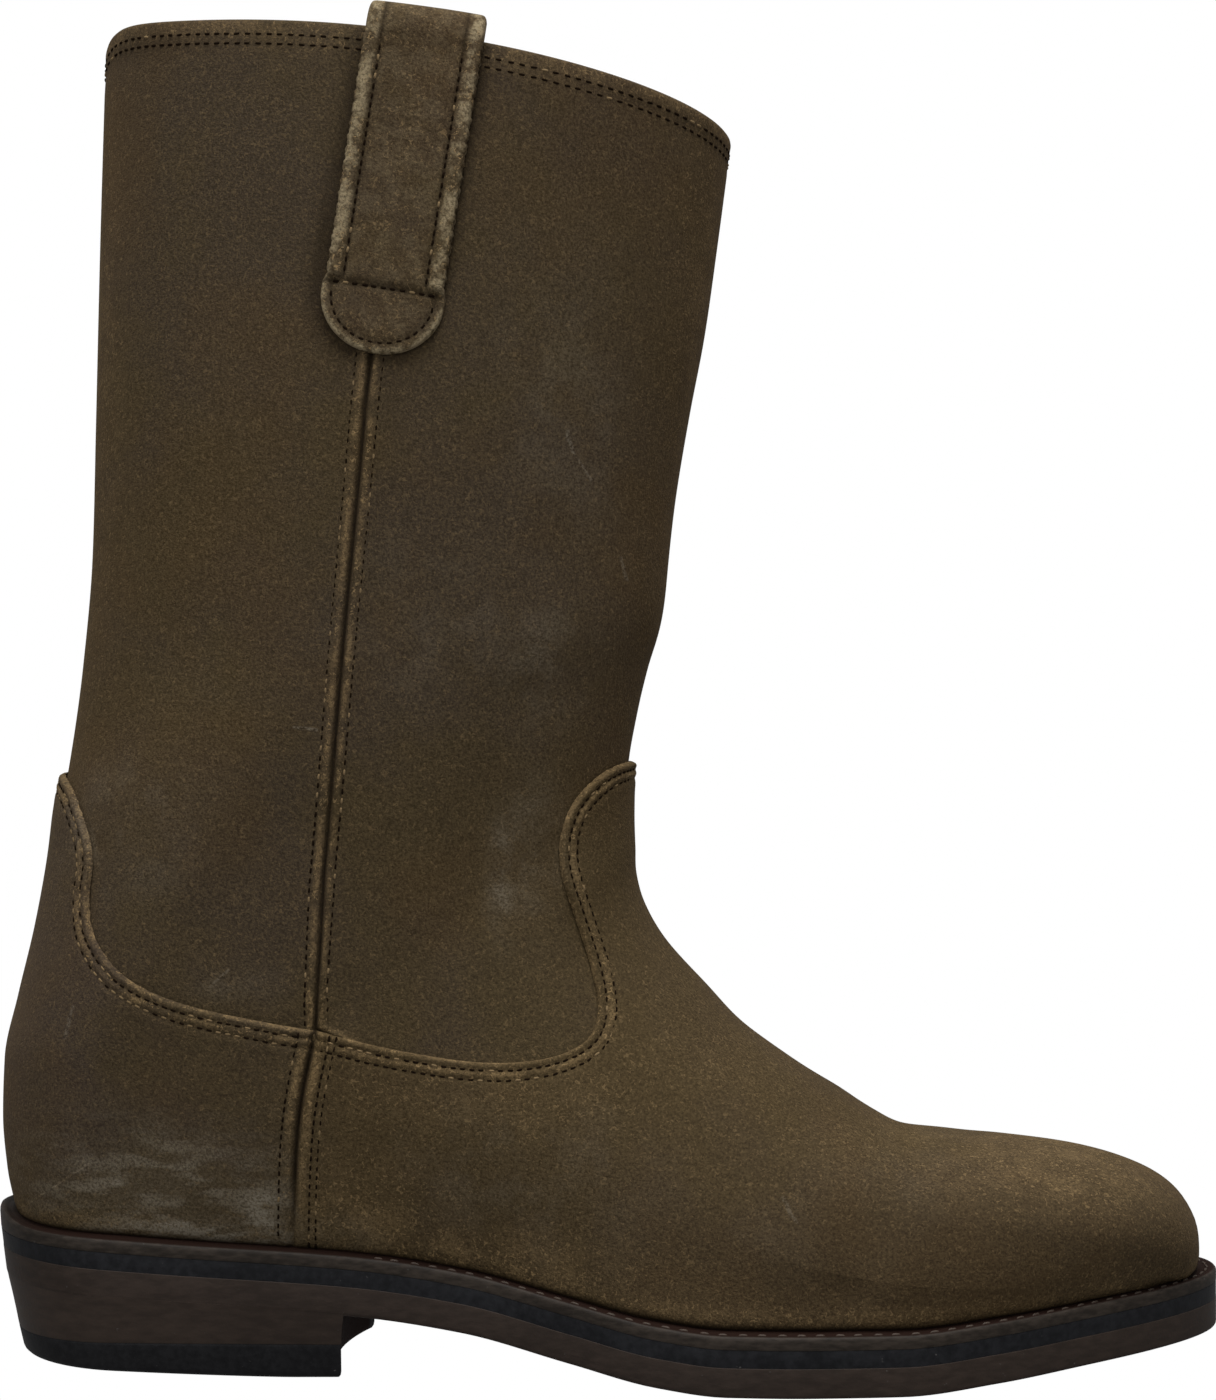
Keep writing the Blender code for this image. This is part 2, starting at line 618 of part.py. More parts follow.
def overlay_outline(edge, far_x):
    """Side-view outline of an overlay: up the seam, along its drawn edge, out and back along the welt."""
    forward = 1.0 if far_x > edge[0].x else -1.0
    seam = drawn(LOWER_SEAM) + np.array([forward * GAP / 2, 0.0])
    welt_x = np.linspace(far_x, seam[0, 0], WELT_LINE_STEPS)
    welt_line = np.stack([welt_x, underside(welt_x) + UPPER_LEVEL + OVERLAY_LIFT], -1)
    edge_line = drawn(edge)[1:]
    beyond = edge_line[-1] + np.array([forward * PRISM_MARGIN, EDGE_RISE])
    outline = [seam[seam[:, 1] > welt_line[-1, 1]], edge_line, [beyond, (far_x, beyond[1])], welt_line]
    return np.concatenate(outline)


def make_overlay(name, edge, far_x, first_section, boot):
    """Vamp or counter: a shell over the foot, cut to its outline in the side view."""
    rows = section_rows(FOOT_SHELL_END)
    rows = rows[rows >= first_section]
    s, t = np.meshgrid(rows, turn_columns(), indexing="ij")
    closed_row = int(np.searchsorted(rows, CLOSED_FROM))
    place, normal = upper_place(s, t), upper_normal(s, t)
    inner, outer = place + normal * GAP, place + normal * (GAP + OVERLAY_THICKNESS)
    piece = body_between(name, inner, outer, "roughout_leather", boot, closed_from=closed_row)
    cut = piece.modifiers.new("outline", "BOOLEAN")
    cut.operation = "INTERSECT"
    cut.object = side_prism(name + "_outline", overlay_outline(edge, far_x), boot)


def strap_outside():
    """Sections and turns of the strap's outer run, row by row from its tab up to the collar."""
    run = np.array(STRAP_TOP) - np.array(STRAP_TAB_END)
    length = float(np.linalg.norm(run))
    run = run / length
    beside = np.array([run[1], -run[0]])
    tab = STRAP_TAB_ROUND * (1 - np.cos(np.linspace(0, math.pi / 2, STRAP_TAB_ROWS + 1)[1:]))
    heights = np.concatenate([tab, np.linspace(STRAP_TAB_LENGTH, length, STRAP_OUTSIDE_ROWS)])
    ease = np.clip((heights - STRAP_TAB_LENGTH) / STRAP_TAB_LENGTH, 0, 1)
    wide = STRAP_TAB_HALF_WIDTH + (STRAP_HALF_WIDTH - STRAP_TAB_HALF_WIDTH) * ease
    wide = wide * rounding(heights / STRAP_TAB_ROUND)
    across = np.linspace(-1, 1, STRAP_COLUMNS)
    offsets = (across * wide[:, None])[..., None]
    places = np.array(STRAP_TAB_END) + run * heights[:, None, None] + beside * offsets
    s, t = upper_from_side(places[..., 0], places[..., 1])
    s[-1] = COLLAR
    return s, t


def strap_grid(side):
    """Inner face of a pull strap: up the outside from its tab, over the collar and down inside."""
    s, t = strap_outside()
    t = t if side == LATERAL else 1 - t
    outside = upper_place(s, t) + upper_normal(s, t) * STRAP_CLEARANCE
    top = t[-1]
    rim, normal = upper_place(COLLAR, top), upper_normal(COLLAR, top)
    rise = rim - upper_place(COLLAR - COLLAR_STEP, top)
    step_length = np.linalg.norm(rise, axis=-1, keepdims=True)
    rise = rise / step_length
    radius = WALL / 2 + STRAP_CLEARANCE
    angles = np.linspace(0, math.pi, STRAP_CROWN_ROWS)[1:, None, None]
    crown = rim - normal * WALL / 2 + radius * (np.cos(angles) * normal + np.sin(angles) * rise)
    down = np.linspace(0, STRAP_INSIDE_LENGTH, STRAP_INSIDE_ROWS + 1)[1:, None]
    s = COLLAR - down * COLLAR_STEP / step_length.mean()
    s, t = np.broadcast_arrays(s, top)
    inside = upper_place(s, t) - upper_normal(s, t) * (WALL + STRAP_CLEARANCE)
    grid = np.concatenate([outside, crown, inside])
    return grid if side == MEDIAL else grid[:, ::-1]


def make_straps(boot):
    for name, side in (("pull_strap_lateral", LATERAL), ("pull_strap_medial", MEDIAL)):
        sheet(name, strap_grid(side)[::-1], "strap_leather", boot, STRAP_THICKNESS)


Boot = namedtuple("Boot", "collection cutters empty")


def main():
    for old in list(bpy.data.objects):
        bpy.data.objects.remove(old, do_unlink=True)
    collection = bpy.data.collections.new("rodeo_boot")
    cutters = bpy.data.collections.new("rodeo_boot_cutters")
    bpy.context.scene.collection.children.link(collection)
    bpy.context.scene.collection.children.link(cutters)
    empty = bpy.data.objects.new("boot_origin", None)
    collection.objects.link(empty)
    outline = outline_grid(0.0, 0.0).reshape(-1, 3)
    middle = (outline.min(axis=0) + outline.max(axis=0)) / 2
    empty.location = (-middle[0] * MM, -middle[1] * MM, 0.0)
    boot = Boot(collection, cutters, empty)
    make_sole(boot)
    make_heel(boot)
    make_upper(boot)
    make_overlay("vamp", VAMP_EDGE, LENGTH + PRISM_MARGIN, 0, boot)
    make_overlay("counter", COUNTER_EDGE, -PRISM_MARGIN, COUNTER_FIRST_SECTION, boot)
    make_straps(boot)


if __name__ == "__main__":
    main()
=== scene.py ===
"""Looks of a pull-on western work boot: roughout leather, seams, stitches, sole and a plain studio.

Tables are in millimetres: x runs from the back of the sole to the toe, y from the outer (lateral,
negative) to the inner (medial) side, z up from the floor. to_world turns them into metres.
"""

import math
from collections import namedtuple

import bmesh
import bpy
import numpy as np
from bpy.props import FloatProperty, FloatVectorProperty, PointerProperty
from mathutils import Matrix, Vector
from mathutils.kdtree import KDTree


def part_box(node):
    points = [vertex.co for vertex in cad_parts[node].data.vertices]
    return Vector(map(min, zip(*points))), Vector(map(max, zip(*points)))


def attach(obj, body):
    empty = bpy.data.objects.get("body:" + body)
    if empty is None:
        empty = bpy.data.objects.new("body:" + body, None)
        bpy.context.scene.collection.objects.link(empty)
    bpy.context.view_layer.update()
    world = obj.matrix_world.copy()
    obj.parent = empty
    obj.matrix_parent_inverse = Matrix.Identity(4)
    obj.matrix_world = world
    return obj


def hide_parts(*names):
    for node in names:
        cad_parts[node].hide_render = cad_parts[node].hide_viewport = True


bl_info = {
    "name": "Western work boot",
    "version": (1, 0, 0),
    "blender": (4, 5, 0),
    "location": "View3D > Sidebar > Boot",
    "description": "Builds the leather, seams, stitches and sole of a pull-on western work boot",
    "category": "Object",
}

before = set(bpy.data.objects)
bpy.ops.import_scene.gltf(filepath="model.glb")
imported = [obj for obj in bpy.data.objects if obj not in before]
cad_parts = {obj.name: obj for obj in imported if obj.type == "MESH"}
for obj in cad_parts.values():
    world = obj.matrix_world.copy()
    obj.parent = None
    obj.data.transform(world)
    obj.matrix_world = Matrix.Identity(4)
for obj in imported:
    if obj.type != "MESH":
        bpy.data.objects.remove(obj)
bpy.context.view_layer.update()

MM = 0.001
LATERAL = -1.0
MEDIAL = 1.0

# Fineness of the meshes
SHAFT_ROWS = 180
TURN_SPACING = 0.0042
OVERLAY_STEP = 1.1
OVERLAY_ROWS = 56
SOLE_COUNT = 180
STRAP_ROWS = 110
COARSE_SECTIONS = 13
COARSE_ROWS = 26
LINING_ROWS = 90
LINING_TURNS = 121
LINE_STEP = 0.12
WELD_DISTANCE = 2e-6
SHARP_ANGLE = math.radians(40.0)

# Sole and heel
LENGTH = 300.0
SOLE_SHIFT = 0.25
TOE_SWING = 7.0
SWING_START = 165.0
HEEL_ROUND = 30.0
TOE_ROUND = 100.0
TOE_BLUNTNESS = 2.2
BACK_LEAN = 1.8
MIDSOLE_TOP = 10.7
WELT_TOP = 14.0
WELT_LEDGE = 0.6
WELT_BACK_RISE = 2.6
WELT_BACK_LENGTH = 7.0
HEEL_BREAST = 86.6
BREAST_HOLLOW = 4.0
BREAST_COUNT = 28
INNER_BREAST = 2.0
HEEL_TOP_INSET = 0.8
HEEL_TAPER = 4.6
HEEL_CAP_BACK = 8.8
HEEL_CAP_FRONT = 8.0
HEEL_WEAR = 3.2
HEEL_WEAR_LENGTH = 75.0
HEEL_WEAR_CURVE = 1.3
HEEL_OVERLAP = 0.02
SOLE_OVERLAP = 0.8


def rows_of(kind, *rows):
    """Table with named columns."""
    return tuple(kind(*row) for row in rows)


SolePlace = namedtuple("SolePlace", "x underside lateral medial")
SOLE = rows_of(
    SolePlace,
    (0.0, 21.5, 34.0, 34.0),
    (45.0, 18.0, 34.4, 34.2),
    (90.0, 14.8, 34.0, 31.5),
    (115.0, 11.4, 36.0, 30.0),
    (140.0, 5.8, 43.0, 34.0),
    (160.0, 1.5, 49.0, 40.5),
    (176.0, 0.0, 52.3, 45.5),
    (195.0, 0.0, 54.0, 49.5),
    (216.0, 0.0, 54.0, 51.5),
    (238.0, 1.7, 52.2, 51.4),
    (262.0, 3.7, 47.4, 48.4),
    (300.0, 6.9, 43.0, 43.5),
)
# Rims of the sole's layers, from top to bottom: insets from the outline and levels above the underside
WELT_SHAPE = (
    (7.8, 14.4), (5.8, 14.4), (5.0, 14.2), (4.5, 13.95), (3.3, 13.95), (2.8, 13.75), (2.0, 13.75),
    (1.5, 13.95), (0.9, 13.95), (0.4, 13.8), (0.1, 13.4), (0.0, 12.9), (0.0, 11.1), (0.03, 10.95),
    (0.12, 10.9), (7.8, 10.9),
)
MIDSOLE_SHAPE = (
    (7.0, 10.93), (0.2, 10.93), (0.08, 10.85), (0.06, 10.7), (0.06, 7.0), (0.08, 6.85),
    (0.2, 6.78), (7.0, 6.78),
)
OUTSOLE_SHAPE = (
    (6.0, 6.83), (0.1, 6.83), (0.02, 6.75), (0.0, 6.6), (0.0, 1.0), (0.08, 0.45),
    (0.3, 0.1), (0.7, 0.0), (4.0, 0.0),
)
# Sides of the heel's pieces: shares of their height and how far they stand out
STACK_SIDE = ((0, -0.1), (0.03, 0), (0.3, 0.15), (0.6, 0.4), (0.85, 0.68), (1, 0.8))
CAP_SIDE = ((0, -1.1), (0.02, -0.6), (0.1, -0.15), (0.2, 0), (0.9, 0), (0.97, -0.05), (1, -0.2))

# One row a section of the upper: a straight cut of the side view from a rear to a front point. lateral
# and medial are half-widths, belly is the place of the widest point along the cut, crown the squareness
# of its front end. Cuts through the foot stand on the welt, and cuts through the leg close behind.
# At the height rear_z the back of the boot is at rear_x, seat is the half-width behind and round
# the length over which the back is rounded.
FootSection = namedtuple("FootSection", "front_x front_z rear_x lateral medial belly crown")
FOOT = rows_of(
    FootSection,
    (292.8, 20.9, 287.0, 16.2, 16.2, 0.08, 2.0),
    (293.0, 26.4, 282.0, 21.4, 21.4, 0.30, 2.0),
    (291.8, 33.2, 275.0, 26.6, 26.6, 0.35, 2.1),
    (287.1, 39.8, 266.0, 32.0, 32.0, 0.36, 2.2),
    (279.0, 44.3, 255.0, 37.5, 37.7, 0.36, 2.25),
    (266.2, 47.9, 244.0, 42.2, 42.5, 0.35, 2.25),
    (248.0, 50.5, 230.0, 46.6, 46.0, 0.34, 2.2),
    (229.0, 52.4, 214.0, 48.6, 47.0, 0.33, 2.1),
    (213.5, 57.9, 195.0, 48.4, 45.5, 0.32, 2.0),
    (198.9, 66.9, 175.0, 46.5, 42.5, 0.32, 1.95),
    (184.0, 77.6, 154.0, 42.8, 40.0, 0.33, 1.9),
    (171.6, 89.6, 131.0, 39.5, 38.5, 0.36, 1.9),
    (161.9, 100.2, 107.0, 37.7, 37.7, 0.40, 1.9),
    (156.4, 109.5, 83.0, 37.0, 37.3, 0.43, 1.9),
    (154.1, 117.5, 60.0, 36.8, 37.0, 0.46, 1.95),
    (153.8, 124.3, 39.0, 36.9, 37.0, 0.48, 2.0),
    (153.6, 130.0, 22.0, 37.1, 37.2, 0.495, 2.0),
    (153.6, 134.8, 11.0, 37.4, 37.5, 0.505, 2.0),
    (153.7, 139.0, 6.2, 37.7, 37.8, 0.512, 2.0),
)
LegSection = namedtuple("LegSection", "front_x front_z rear_x rear_z width belly seat round")
LEG = rows_of(
    LegSection,
    (153.9, 143.0, 3.8, 47.0, 38.0, 0.524, 29.3, 24.8),
    (154.4, 147.5, 2.8, 59.5, 38.3, 0.531, 30.8, 26.5),
    (155.4, 153.0, 3.2, 73.0, 38.7, 0.532, 32.2, 29.0),
    (157.0, 160.0, 6.4, 88.0, 39.3, 0.522, 33.8, 33.0),
    (159.3, 168.5, 10.4, 105.0, 40.0, 0.508, 35.8, 39.0),
    (161.9, 179.5, 13.8, 124.0, 40.8, 0.496, 38.0, 47.0),
    (163.8, 194.5, 16.8, 145.0, 41.8, 0.490, 40.5, 57.0),
    (166.0, 212.0, 20.0, 168.0, 42.8, 0.485, 42.5, 66.0),
    (169.2, 231.0, 22.4, 196.0, 43.8, 0.482, 43.8, 71.0),
    (172.9, 250.5, 23.2, 228.0, 44.6, 0.486, 44.6, 73.2),
    (176.1, 273.0, 24.2, 271.0, 45.3, 0.508, 45.3, 77.6),
    (179.5, 298.7, 25.7, 322.0, 46.0, 0.532, 46.0, 82.2),
)
LEG_CROWN = 2.0
HeelPlace = namedtuple("HeelPlace", "rear_z rear_x seat round")
HEEL_FOOT = HeelPlace(20.0, 9.5, 26.0, 22.4)
CLOSED_FROM = len(FOOT) - 1
COLLAR = CLOSED_FROM + len(LEG)
WALL = 2.2
FEATHER_INSET = 6.2
UPPER_LEVEL = 14.45
BELLY_FROM = 12
BELLY_RISE = 42.0
SLICED_FROM = 11.0
SLICED_OVER = 3.0
SEAT_FADE = 30.0
SEARCH_STEPS = 40

# Turns go once round the upper from the outer bottom edge or the back: the side seam, the middle of the front
SEAM_TURN = 0.25
FRONT_TURN = 0.5
FRONT_NEAR = FRONT_TURN - 1e-4
BACK_NEAR = 0.004
WELT_TURN = 0.004
TURN_STEP = 0.001

# Collar: places where its edge dips, its rolled rim and its hem
CollarDip = namedtuple("CollarDip", "turn wide sections")
COLLAR_DIPS = rows_of(CollarDip, (0.0, 0.05, 0.10), (0.14, 0.09, 0.04), (0.5, 0.14, 0.07))
DIP_SECTIONS = 2
COLLAR_STEP = 0.05
HEM_STEP = 0.2
RIM_ROWS = 6
HEM_STITCHES = (2.5, 4.7)
HEM_DEPTH = 0.15

# Side view of the seams, the overlays' edges and the strap's middle line
SidePlace = namedtuple("SidePlace", "x z")
CORNER = SidePlace(81.3, 82.0)
LOWER_SEAM = ((74.2, 15.0), (74.8, 24.0), (77.1, 59.0), CORNER)
VAMP_EDGE = (
    CORNER, (98.7, 77.6), (119.0, 74.4), (134.0, 75.0), (143.5, 78.8), (146.4, 85.5), (144.8, 95.5),
    (140.9, 107.5), (137.6, 118.5), (137.6, 127.5), (141.0, 135.8), (148.0, 142.6), (157.0, 146.8),
)
COUNTER_EDGE = (
    CORNER, (70.6, 83.7), (50.2, 88.2), (37.0, 94.5), (29.5, 103.5), (27.7, 112.0), (28.3, 120.5),
    (26.8, 128.0), (22.0, 137.6), (14.0, 144.4),
)
SEAM_JOIN = 116.0
SEAM_BACK = 0.9
SEAM_BEND = 0.06
STRAP_TAB_END = SidePlace(95.5, 237.0)
STRAP_TOP = SidePlace(107.2, 309.6)
STRAP_LENGTH = math.dist(STRAP_TOP, STRAP_TAB_END)

# Shares of an overlay's edge and the shares of its far lines that the mesh joins to them
VAMP_MATCHES = ((0.0, 0.0), (0.36, 0.22), (0.45, 0.42), (0.52, 0.58), (0.60, 0.74), (0.80, 0.91), (1.0, 1.0))
COUNTER_MATCHES = ((0.0, 0.0), (0.38, 0.26), (0.55, 0.46), (0.66, 0.62), (0.80, 0.82), (1.0, 1.0))
SEAM_PULL = 4

# Heights above the upper at distances from an overlay's cut edge, from the side seam and from the welt
EDGE_HEIGHT = (
    (0.0, 0.3), (0.1, 0.9), (0.25, 1.4), (0.5, 1.75), (0.9, 1.95), (1.4, 1.95), (1.9, 1.8), (2.4, 1.98),
    (3.0, 2.1), (3.7, 1.98), (4.2, 1.82), (4.7, 1.97), (5.6, 2.05), (7.5, 2.0),
)
SEAM_HEIGHT = (
    (0.0, 0.6), (0.35, 0.95), (0.7, 1.6), (1.2, 2.15), (1.9, 2.3), (2.7, 2.2), (3.2, 2.0), (3.6, 1.85),
    (4.1, 2.0), (5.0, 2.1), (6.5, 2.0),
)
FOOT_HEIGHT = ((0.0, 0.7), (0.4, 1.25), (1.0, 1.65), (2.0, 1.9), (3.5, 2.0))
SHAFT_SEAM_HEIGHT = (
    (0.0, -0.8), (0.3, -0.5), (0.65, 0.25), (1.05, 0.75), (1.8, 0.85), (2.5, 0.7), (2.85, 0.5), (3.2, 0.3),
    (3.6, 0.45), (4.5, 0.35), (6.0, 0.0),
)
OVERLAY_HEIGHT = 2.0
LEAST_HEIGHT = 0.25
SEAM_FLATNESS = 0.8
SEAM_OPEN_FROM = 30.0
SEAM_OPEN_OVER = 20.0
SEAM_CLOSED = 0.15
EDGE_ROUGHNESS = 0.06
ROUGH_WIDTH = 4.0
SHAFT_SEAM_ROUGHNESS = 0.13
SHAFT_ROUGH_WIDTH = 1.2
SHAFT_SEAM_BELOW = 2.5
SHAFT_SEAM_EASE = 0.5
# Distances of the overlay meshes' rows from the edge, and of their columns from the seam
EDGE_ROWS = (
    0, 0.06, 0.12, 0.2, 0.32, 0.5, 0.75, 1.0, 1.3, 1.6, 1.8, 2.0, 2.3, 2.7, 3.1, 3.5,
    3.9, 4.2, 4.5, 5, 5.8, 7,
)
SEAM_ROWS = (0, 0.2, 0.4, 0.6, 0.8, 1.1, 1.5, 1.9, 2.3, 2.7, 3.0, 3.3, 3.8, 4.6, 5.6, 7)
# Turns of the upper's columns beside its seam
SEAM_TURNS = (0, 0.0006, 0.0012, 0.0018, 0.0025, 0.0035, 0.0048, 0.0062, 0.0076, 0.0092, 0.012, 0.016)

# Pull straps: sizes, and heights at distances from their folded edges, their crown's and their tab's edge
STRAP_HALF_WIDTH = 13.5
STRAP_TAB_HALF_WIDTH = 14.2
STRAP_TAB_LENGTH = 15.0
STRAP_TAB_ROUND = 13.0
STRAP_TAB_EASE = 1.5
STRAP_INSIDE_LENGTH = 50.0
STRAP_GAP = 0.1
STRAP_RAGGED = 0.16
RAG_WAVES = (1.9, 4.3)
RAG_NARROWNESS = 12
CROWN_RISE = 3.2
CROWN_EASE = 7.0
CROWN_ROWS = 18
INSIDE_ROWS = 40
FOLD_START = 0.6
FOLD_EASE = 1.2
FOLD_WIDTH = 3.3
FOLD_SOFTNESS = 0.35
CROSS_WIDTH = 0.7
CROSS_DEPTH = 0.4
CROSS_REACH = 0.84
STRAP_HEIGHT = (
    (0.0, 0.2), (0.1, 1.3), (0.35, 2.1), (0.9, 2.6), (2.0, 2.75), (3.2, 2.55),
    (3.8, 2.15), (4.2, 1.9), (4.7, 2.1), (6.0, 2.25), (8.0, 2.2),
)
CROWN_HEIGHT = ((0.0, 0.9), (0.25, 1.8), (0.8, 2.45), (1.6, 2.6), (8.0, 2.6))
TAB_HEIGHT = (
    (0.0, 0.2), (0.08, 0.9), (0.3, 1.45), (0.7, 1.7), (1.8, 1.75), (2.6, 1.5),
    (3.3, 1.7), (5.0, 1.85), (8.0, 1.85),
)
STRAP_ROWS_NEAR = (0, 0.05, 0.12, 0.25, 0.45, 0.7, 1.0, 1.4, 1.8, 2.2, 2.6, 3.0, 3.4, 3.8, 4.2, 4.6, 5.0, 5.6)

# Stitch rows: distances from edges and seams, and the form of one stitch
EDGE_STITCHES = (1.9, 4.2)
SEAM_STITCH = 3.2
LOWER_STITCH = 3.6
VAMP_STITCH = 5.2
STRAP_STITCH = 4.2
TAB_STITCH = 2.6
WELT_STITCH = 2.4
WELT_STITCH_FROM = 92.0
STITCH_DIP = 0.5
STITCH_DEPTH = 0.1
STRAP_DEPTH = 0.12
STITCH_RINGS = 7
STITCH_SIDES = 8
STITCH_BLUNTNESS = 3
STITCH_TIP = 0.02
STITCH_DIVE = 6
STITCH_SAG = 0.8
STITCH_REACH = 0.3
STITCH_JITTER = 0.03
STITCH_TURN = 0.06
STITCH_SINK = 0.1
WELT_STITCH_SINK = 0.05
STRAP_STITCH_START = 2.0
SEAM_STITCH_END = 0.3
# Heights of the threads on the leather, and shares of their stitches that are painted pale, as worn thread
# and painted glints
EDGE_THREAD_LIFT = 1.8
LOWER_THREAD_LIFT = 1.86
VAMP_THREAD_LIFT = 2.0
SHAFT_THREAD_LIFT = 0.3
HEM_THREAD_LIFT = -0.05
STRAP_THREAD_LIFT = 2.0
CROSS_THREAD_LIFT = 1.65
TAB_THREAD_LIFT = 1.6
WELT_THREAD_LIFT = -0.1
PLAIN_PALE = 0.08
VAMP_PALE = 0.15
COUNTER_PALE = 0.45
SHAFT_PALE = 0.18
HEM_PALE = 0.05
ROW_MARGIN = 1.0
Thread = namedtuple("Thread", "pitch length radius")
SEAM_THREAD = Thread(2.2, 1.65, 0.30)
COLLAR_THREAD = Thread(2.7, 1.9, 0.33)
STRAP_THREAD = Thread(2.2, 1.65, 0.34)
WELT_THREAD = Thread(4.4, 2.3, 0.32)

# Soft troughs and ridges of worn leather in the side view: a line, its height and its half-width
Crease = namedtuple("Crease", "x1 z1 x2 z2 height width")
CREASES = rows_of(
    Crease,
    (132.0, 158.0, 158.0, 168.0, -0.45, 8.0),
    (128.0, 172.0, 160.0, 186.0, 0.35, 10.0),
    (118.0, 120.0, 128.0, 158.0, -0.6, 9.0),
    (58.0, 170.0, 66.0, 262.0, -0.7, 14.0),
    (134.0, 198.0, 142.0, 276.0, -0.6, 15.0),
    (32.0, 150.0, 48.0, 172.0, -0.6, 10.0),
    (20.0, 132.0, 44.0, 138.0, 0.5, 8.0),
    (52.0, 106.0, 74.0, 128.0, -0.6, 10.0),
    (205.0, 24.0, 221.0, 55.0, -0.7, 6.0),
    (192.0, 30.0, 205.0, 62.0, 0.5, 7.0),
    (216.0, 26.0, 233.0, 52.0, 0.4, 6.0),
    (158.0, 58.0, 178.0, 80.0, -0.5, 8.0),
    (36.0, 44.0, 44.0, 74.0, -0.5, 12.0),
)

# Worn and scuffed places in the side view, some of the worn ones partly painted highlight, and places of
# painted shade: centre, half-sizes and amount
Blot = namedtuple("Blot", "x z wide high amount")
RUBBED_AND_LIT = rows_of(
    Blot,
    # On top of the toe this pale blot is partly a painted highlight where the light from above falls
    (260.0, 47.0, 34.0, 9.0, 0.37),
    (226.0, 53.0, 30.0, 7.0, 0.16),
    (180.0, 76.0, 24.0, 14.0, 0.06),
    (92.0, 36.0, 16.0, 14.0, 0.42),
    (108.0, 27.0, 34.0, 8.0, 0.60),
    (118.0, 66.0, 40.0, 8.0, 0.14),
    # These two tall pale blots along the shaft's front and back edges are partly painted sheen along its
    # outline
    (172.0, 250.0, 7.0, 60.0, 0.14),
    (28.0, 240.0, 7.0, 70.0, 0.12),
)
SCUFFED = rows_of(
    Blot,
    (54.0, 33.0, 24.0, 6.0, 1.2),
    (68.0, 37.0, 7.0, 9.0, 1.1),
    (42.0, 46.0, 26.0, 12.0, 0.65),
    (186.0, 38.0, 12.0, 8.0, 0.08),
    (124.0, 117.0, 3.0, 12.0, 0.42),
    (131.0, 124.0, 7.0, 16.0, 0.20),
    (128.0, 48.0, 28.0, 16.0, 0.12),
    (134.0, 168.0, 12.0, 14.0, 0.20),
    (112.0, 176.0, 22.0, 18.0, 0.12),
    (140.0, 226.0, 18.0, 30.0, 0.12),
    (36.0, 128.0, 16.0, 14.0, 0.20),
    (62.0, 93.0, 10.0, 4.0, 0.16),
    (215.0, 45.0, 22.0, 8.0, 0.05),
)
# Painted shade low on the toe box and the vamp's side, which face away from the light above
PAINTED_SHADE = rows_of(Blot, (226.0, 34.0, 50.0, 12.0, 0.32), (182.0, 56.0, 30.0, 16.0, 0.10))
# Short pale scratches in the side view
Scratch = namedtuple("Scratch", "x1 z1 x2 z2 width strength")
SCRATCHES = rows_of(
    Scratch,
    (139.5, 221.0, 141.0, 216.5, 0.7, 0.45),
    (141.0, 216.5, 145.0, 210.5, 0.5, 0.35),
    (152.5, 193.0, 153.5, 188.0, 0.5, 0.30),
    (22.5, 80.0, 24.5, 87.0, 0.6, 0.40),
    (57.0, 92.0, 61.5, 96.0, 0.4, 0.30),
    (77.0, 151.9, 82.0, 151.3, 0.5, 0.50),
    (189.0, 44.0, 192.0, 39.0, 0.6, 0.30),
)

# Bands along edges and seams: distance, half-width and amount. They give wear, painted shade in grooves, by
# the welt and at the straps' outer edges, a painted shadow beside the straps and painted sheen along the
# shaft's back and front
Band = namedtuple("Band", "at wide amount")
RAW_EDGE = Band(0.0, 0.55, 0.45)
BETWEEN_STITCHES = Band(2.9, 1.1, 0.42)
VAMP_RIDGE = Band(1.9, 1.1, 0.62)
COUNTER_RIDGE = Band(1.9, 1.1, 0.42)
FOOT_NAP = Band(3.0, 2.4, 0.26)
# Painted shade along the welt where the upper meets it, and a faint painted shade reaching further up
FOOT_DARK = Band(0.0, 0.9, 0.9)
FOOT_FAR_SHADE = 0.05
FOOT_FAR_SHADE_LENGTH = 9.0
SHAFT_RIDGE = Band(1.8, 1.0, 0.42)
# Painted shade in the shaft seam's groove
SHAFT_GROOVE = Band(0.0, 0.55, 0.85)
COLLAR_EDGE = Band(0.0, 1.0, 0.22)
COLLAR_MIDDLE = Band(3.6, 0.8, 0.15)
COLLAR_SWELL = Band(1.4, 1.0, 0.15)
# Painted sheen, warm and pale, along the shaft's back and front edges
BACK_EDGE_SHEEN = Band(0.0, 0.07, 0.7)
FRONT_EDGE_SHEEN = Band(FRONT_TURN, 0.10, 0.7)
# Share of tan and of dark on the collar's rolled rim
RIM_TONE = 0.15
STRAP_SHADOW = Band(0.0, 2.6, 0.6)
TAB_EDGE = Band(0.0, 1.1, 1.4)
# Painted shade at the strap's outer edges
STRAP_EDGE_DARK = Band(0.0, 0.5, 0.35)
# The folds' rub is worn leather and partly a painted highlight on their raised tops
FOLD_RUB_AND_HIGHLIGHT = 0.75
STRAP_RUB = 0.10
# Painted shade in the lower seam's groove, where it is closed and where it opens, and in the stitch rows'
# dips
GROOVE_DARK = 0.25
GROOVE_OPEN_DARK = 0.65
GROOVE_WIDTH = 0.3
OVERLAY_STITCH_DARK = 0.12
SHAFT_STITCH_DARK = 0.15
HEM_STITCH_DARK = 0.25
STRAP_STITCH_DARK = 0.6
TAB_STITCH_DARK = 0.45
CROSS_DARK = 0.5

